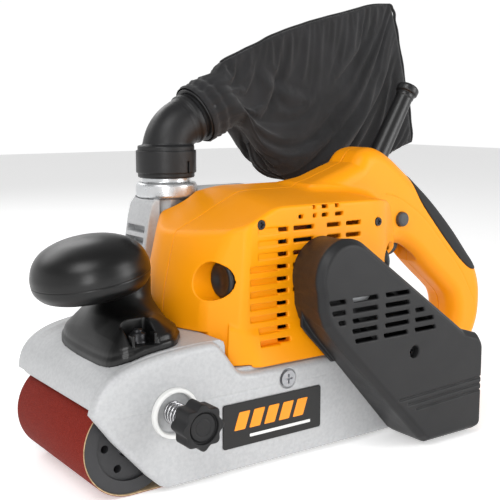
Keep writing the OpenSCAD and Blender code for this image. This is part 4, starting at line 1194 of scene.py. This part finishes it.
def finish_nodes(mats):
    """Gives every CAD node that is still shown the finish of its material slot."""
    slots = {p["node"]: p["material_slot"] for p in frame["record"]["subparts"]}
    for name, o in nodes.items():
        if o.hide_render:
            continue
        slot = slots.get(name)
        o.data.materials.clear()
        o.data.materials.append(mats[SLOT_FINISH.get(slot, "steel")])


# ---- studio

def area_light(name, at, aim, size, power, colour=(1, 1, 1)):
    data = bpy.data.lights.new(name, "AREA")
    data.shape = "RECTANGLE"
    data.size, data.size_y = size
    data.energy = power
    data.color = colour
    o = bpy.data.objects.new(name, data)
    o.location = at
    o.rotation_euler = (Vector(aim) - Vector(at)).to_track_quat("-Z", "Y").to_euler()
    bpy.context.scene.collection.objects.link(o)


def make_studio():
    scene = bpy.context.scene
    scene.view_settings.view_transform = "Standard"
    me = bpy.data.meshes.new("floor")
    me.from_pydata([(-4, -4, 0), (4, -4, 0), (4, 4, 0), (-4, 4, 0)], [], [(0, 1, 2, 3)])
    floor = bpy.data.objects.new("floor", me)
    scene.collection.objects.link(floor)
    floor.location.z = -0.0004
    paper = finish("floor_paper", (244, 244, 244), 0.85, grain=(200, 0.02, 0.0002), level=0.2)
    shader = paper.node_tree.nodes["Principled BSDF"]
    set_inputs(shader, {"Emission Color": (1.0, 1.0, 1.0, 1.0), "Emission Strength": 0.42})
    me.materials.append(paper)
    world = bpy.data.worlds.new("studio")
    scene.world = world
    world.use_nodes = True
    back = world.node_tree.nodes["Background"]
    back.inputs["Color"].default_value = (1.0, 1.0, 1.0, 1.0)
    tree = world.node_tree
    at = tree.nodes.new("ShaderNodeTexCoord")
    axes = tree.nodes.new("ShaderNodeSeparateXYZ")
    tree.links.new(at.outputs["Generated"], axes.inputs["Vector"])
    sky = tree.nodes.new("ShaderNodeMapRange")
    # bright at the horizon and dimmer overhead
    set_inputs(sky, {"From Min": 0.16, "From Max": 0.4, "To Min": 1.02, "To Max": 0.3})
    tree.links.new(axes.outputs["Z"], sky.inputs["Value"])
    tree.links.new(sky.outputs["Result"], back.inputs["Strength"])
    centre = (0.04, 0.0, 0.12)
    area_light("key", (-0.75, -0.55, 1.15), centre, (0.7, 0.7), 8)
    area_light("side", (0.95, -1.1, 0.55), centre, (0.6, 1.0), 9)
    area_light("front", (-0.62, -0.86, 0.32), centre, (0.25, 0.45), 2.6)
    area_light("rear", (-0.2, 1.3, 1.0), centre, (1.4, 0.6), 7)
    data = bpy.data.cameras.new("camera")
    data.lens = 66.0
    data.sensor_width = 36.0
    data.dof.use_dof = False
    cam = bpy.data.objects.new("camera", data)
    scene.collection.objects.link(cam)
    az, el = math.radians(-35.42), math.radians(8.76)
    back_dir = Vector((math.sin(az) * math.cos(el), -math.cos(az) * math.cos(el), math.sin(el)))
    cam.location = Vector((0.0686, 0.0712, 0.118)) + back_dir * 0.7276
    cam.rotation_euler = back_dir.to_track_quat("Z", "Y").to_euler()
    scene.camera = cam


mats = make_finishes()
make_housing(mats["yellow"], mats["black"])
make_frame(mats["cast"])
make_cover(mats["cover"])
make_tracking(mats)
make_label(mats)
make_belt(mats)
make_grip(mats)
make_dust_path(mats)
make_controls(mats)
make_bag(mats)
finish_nodes(mats)
make_studio()
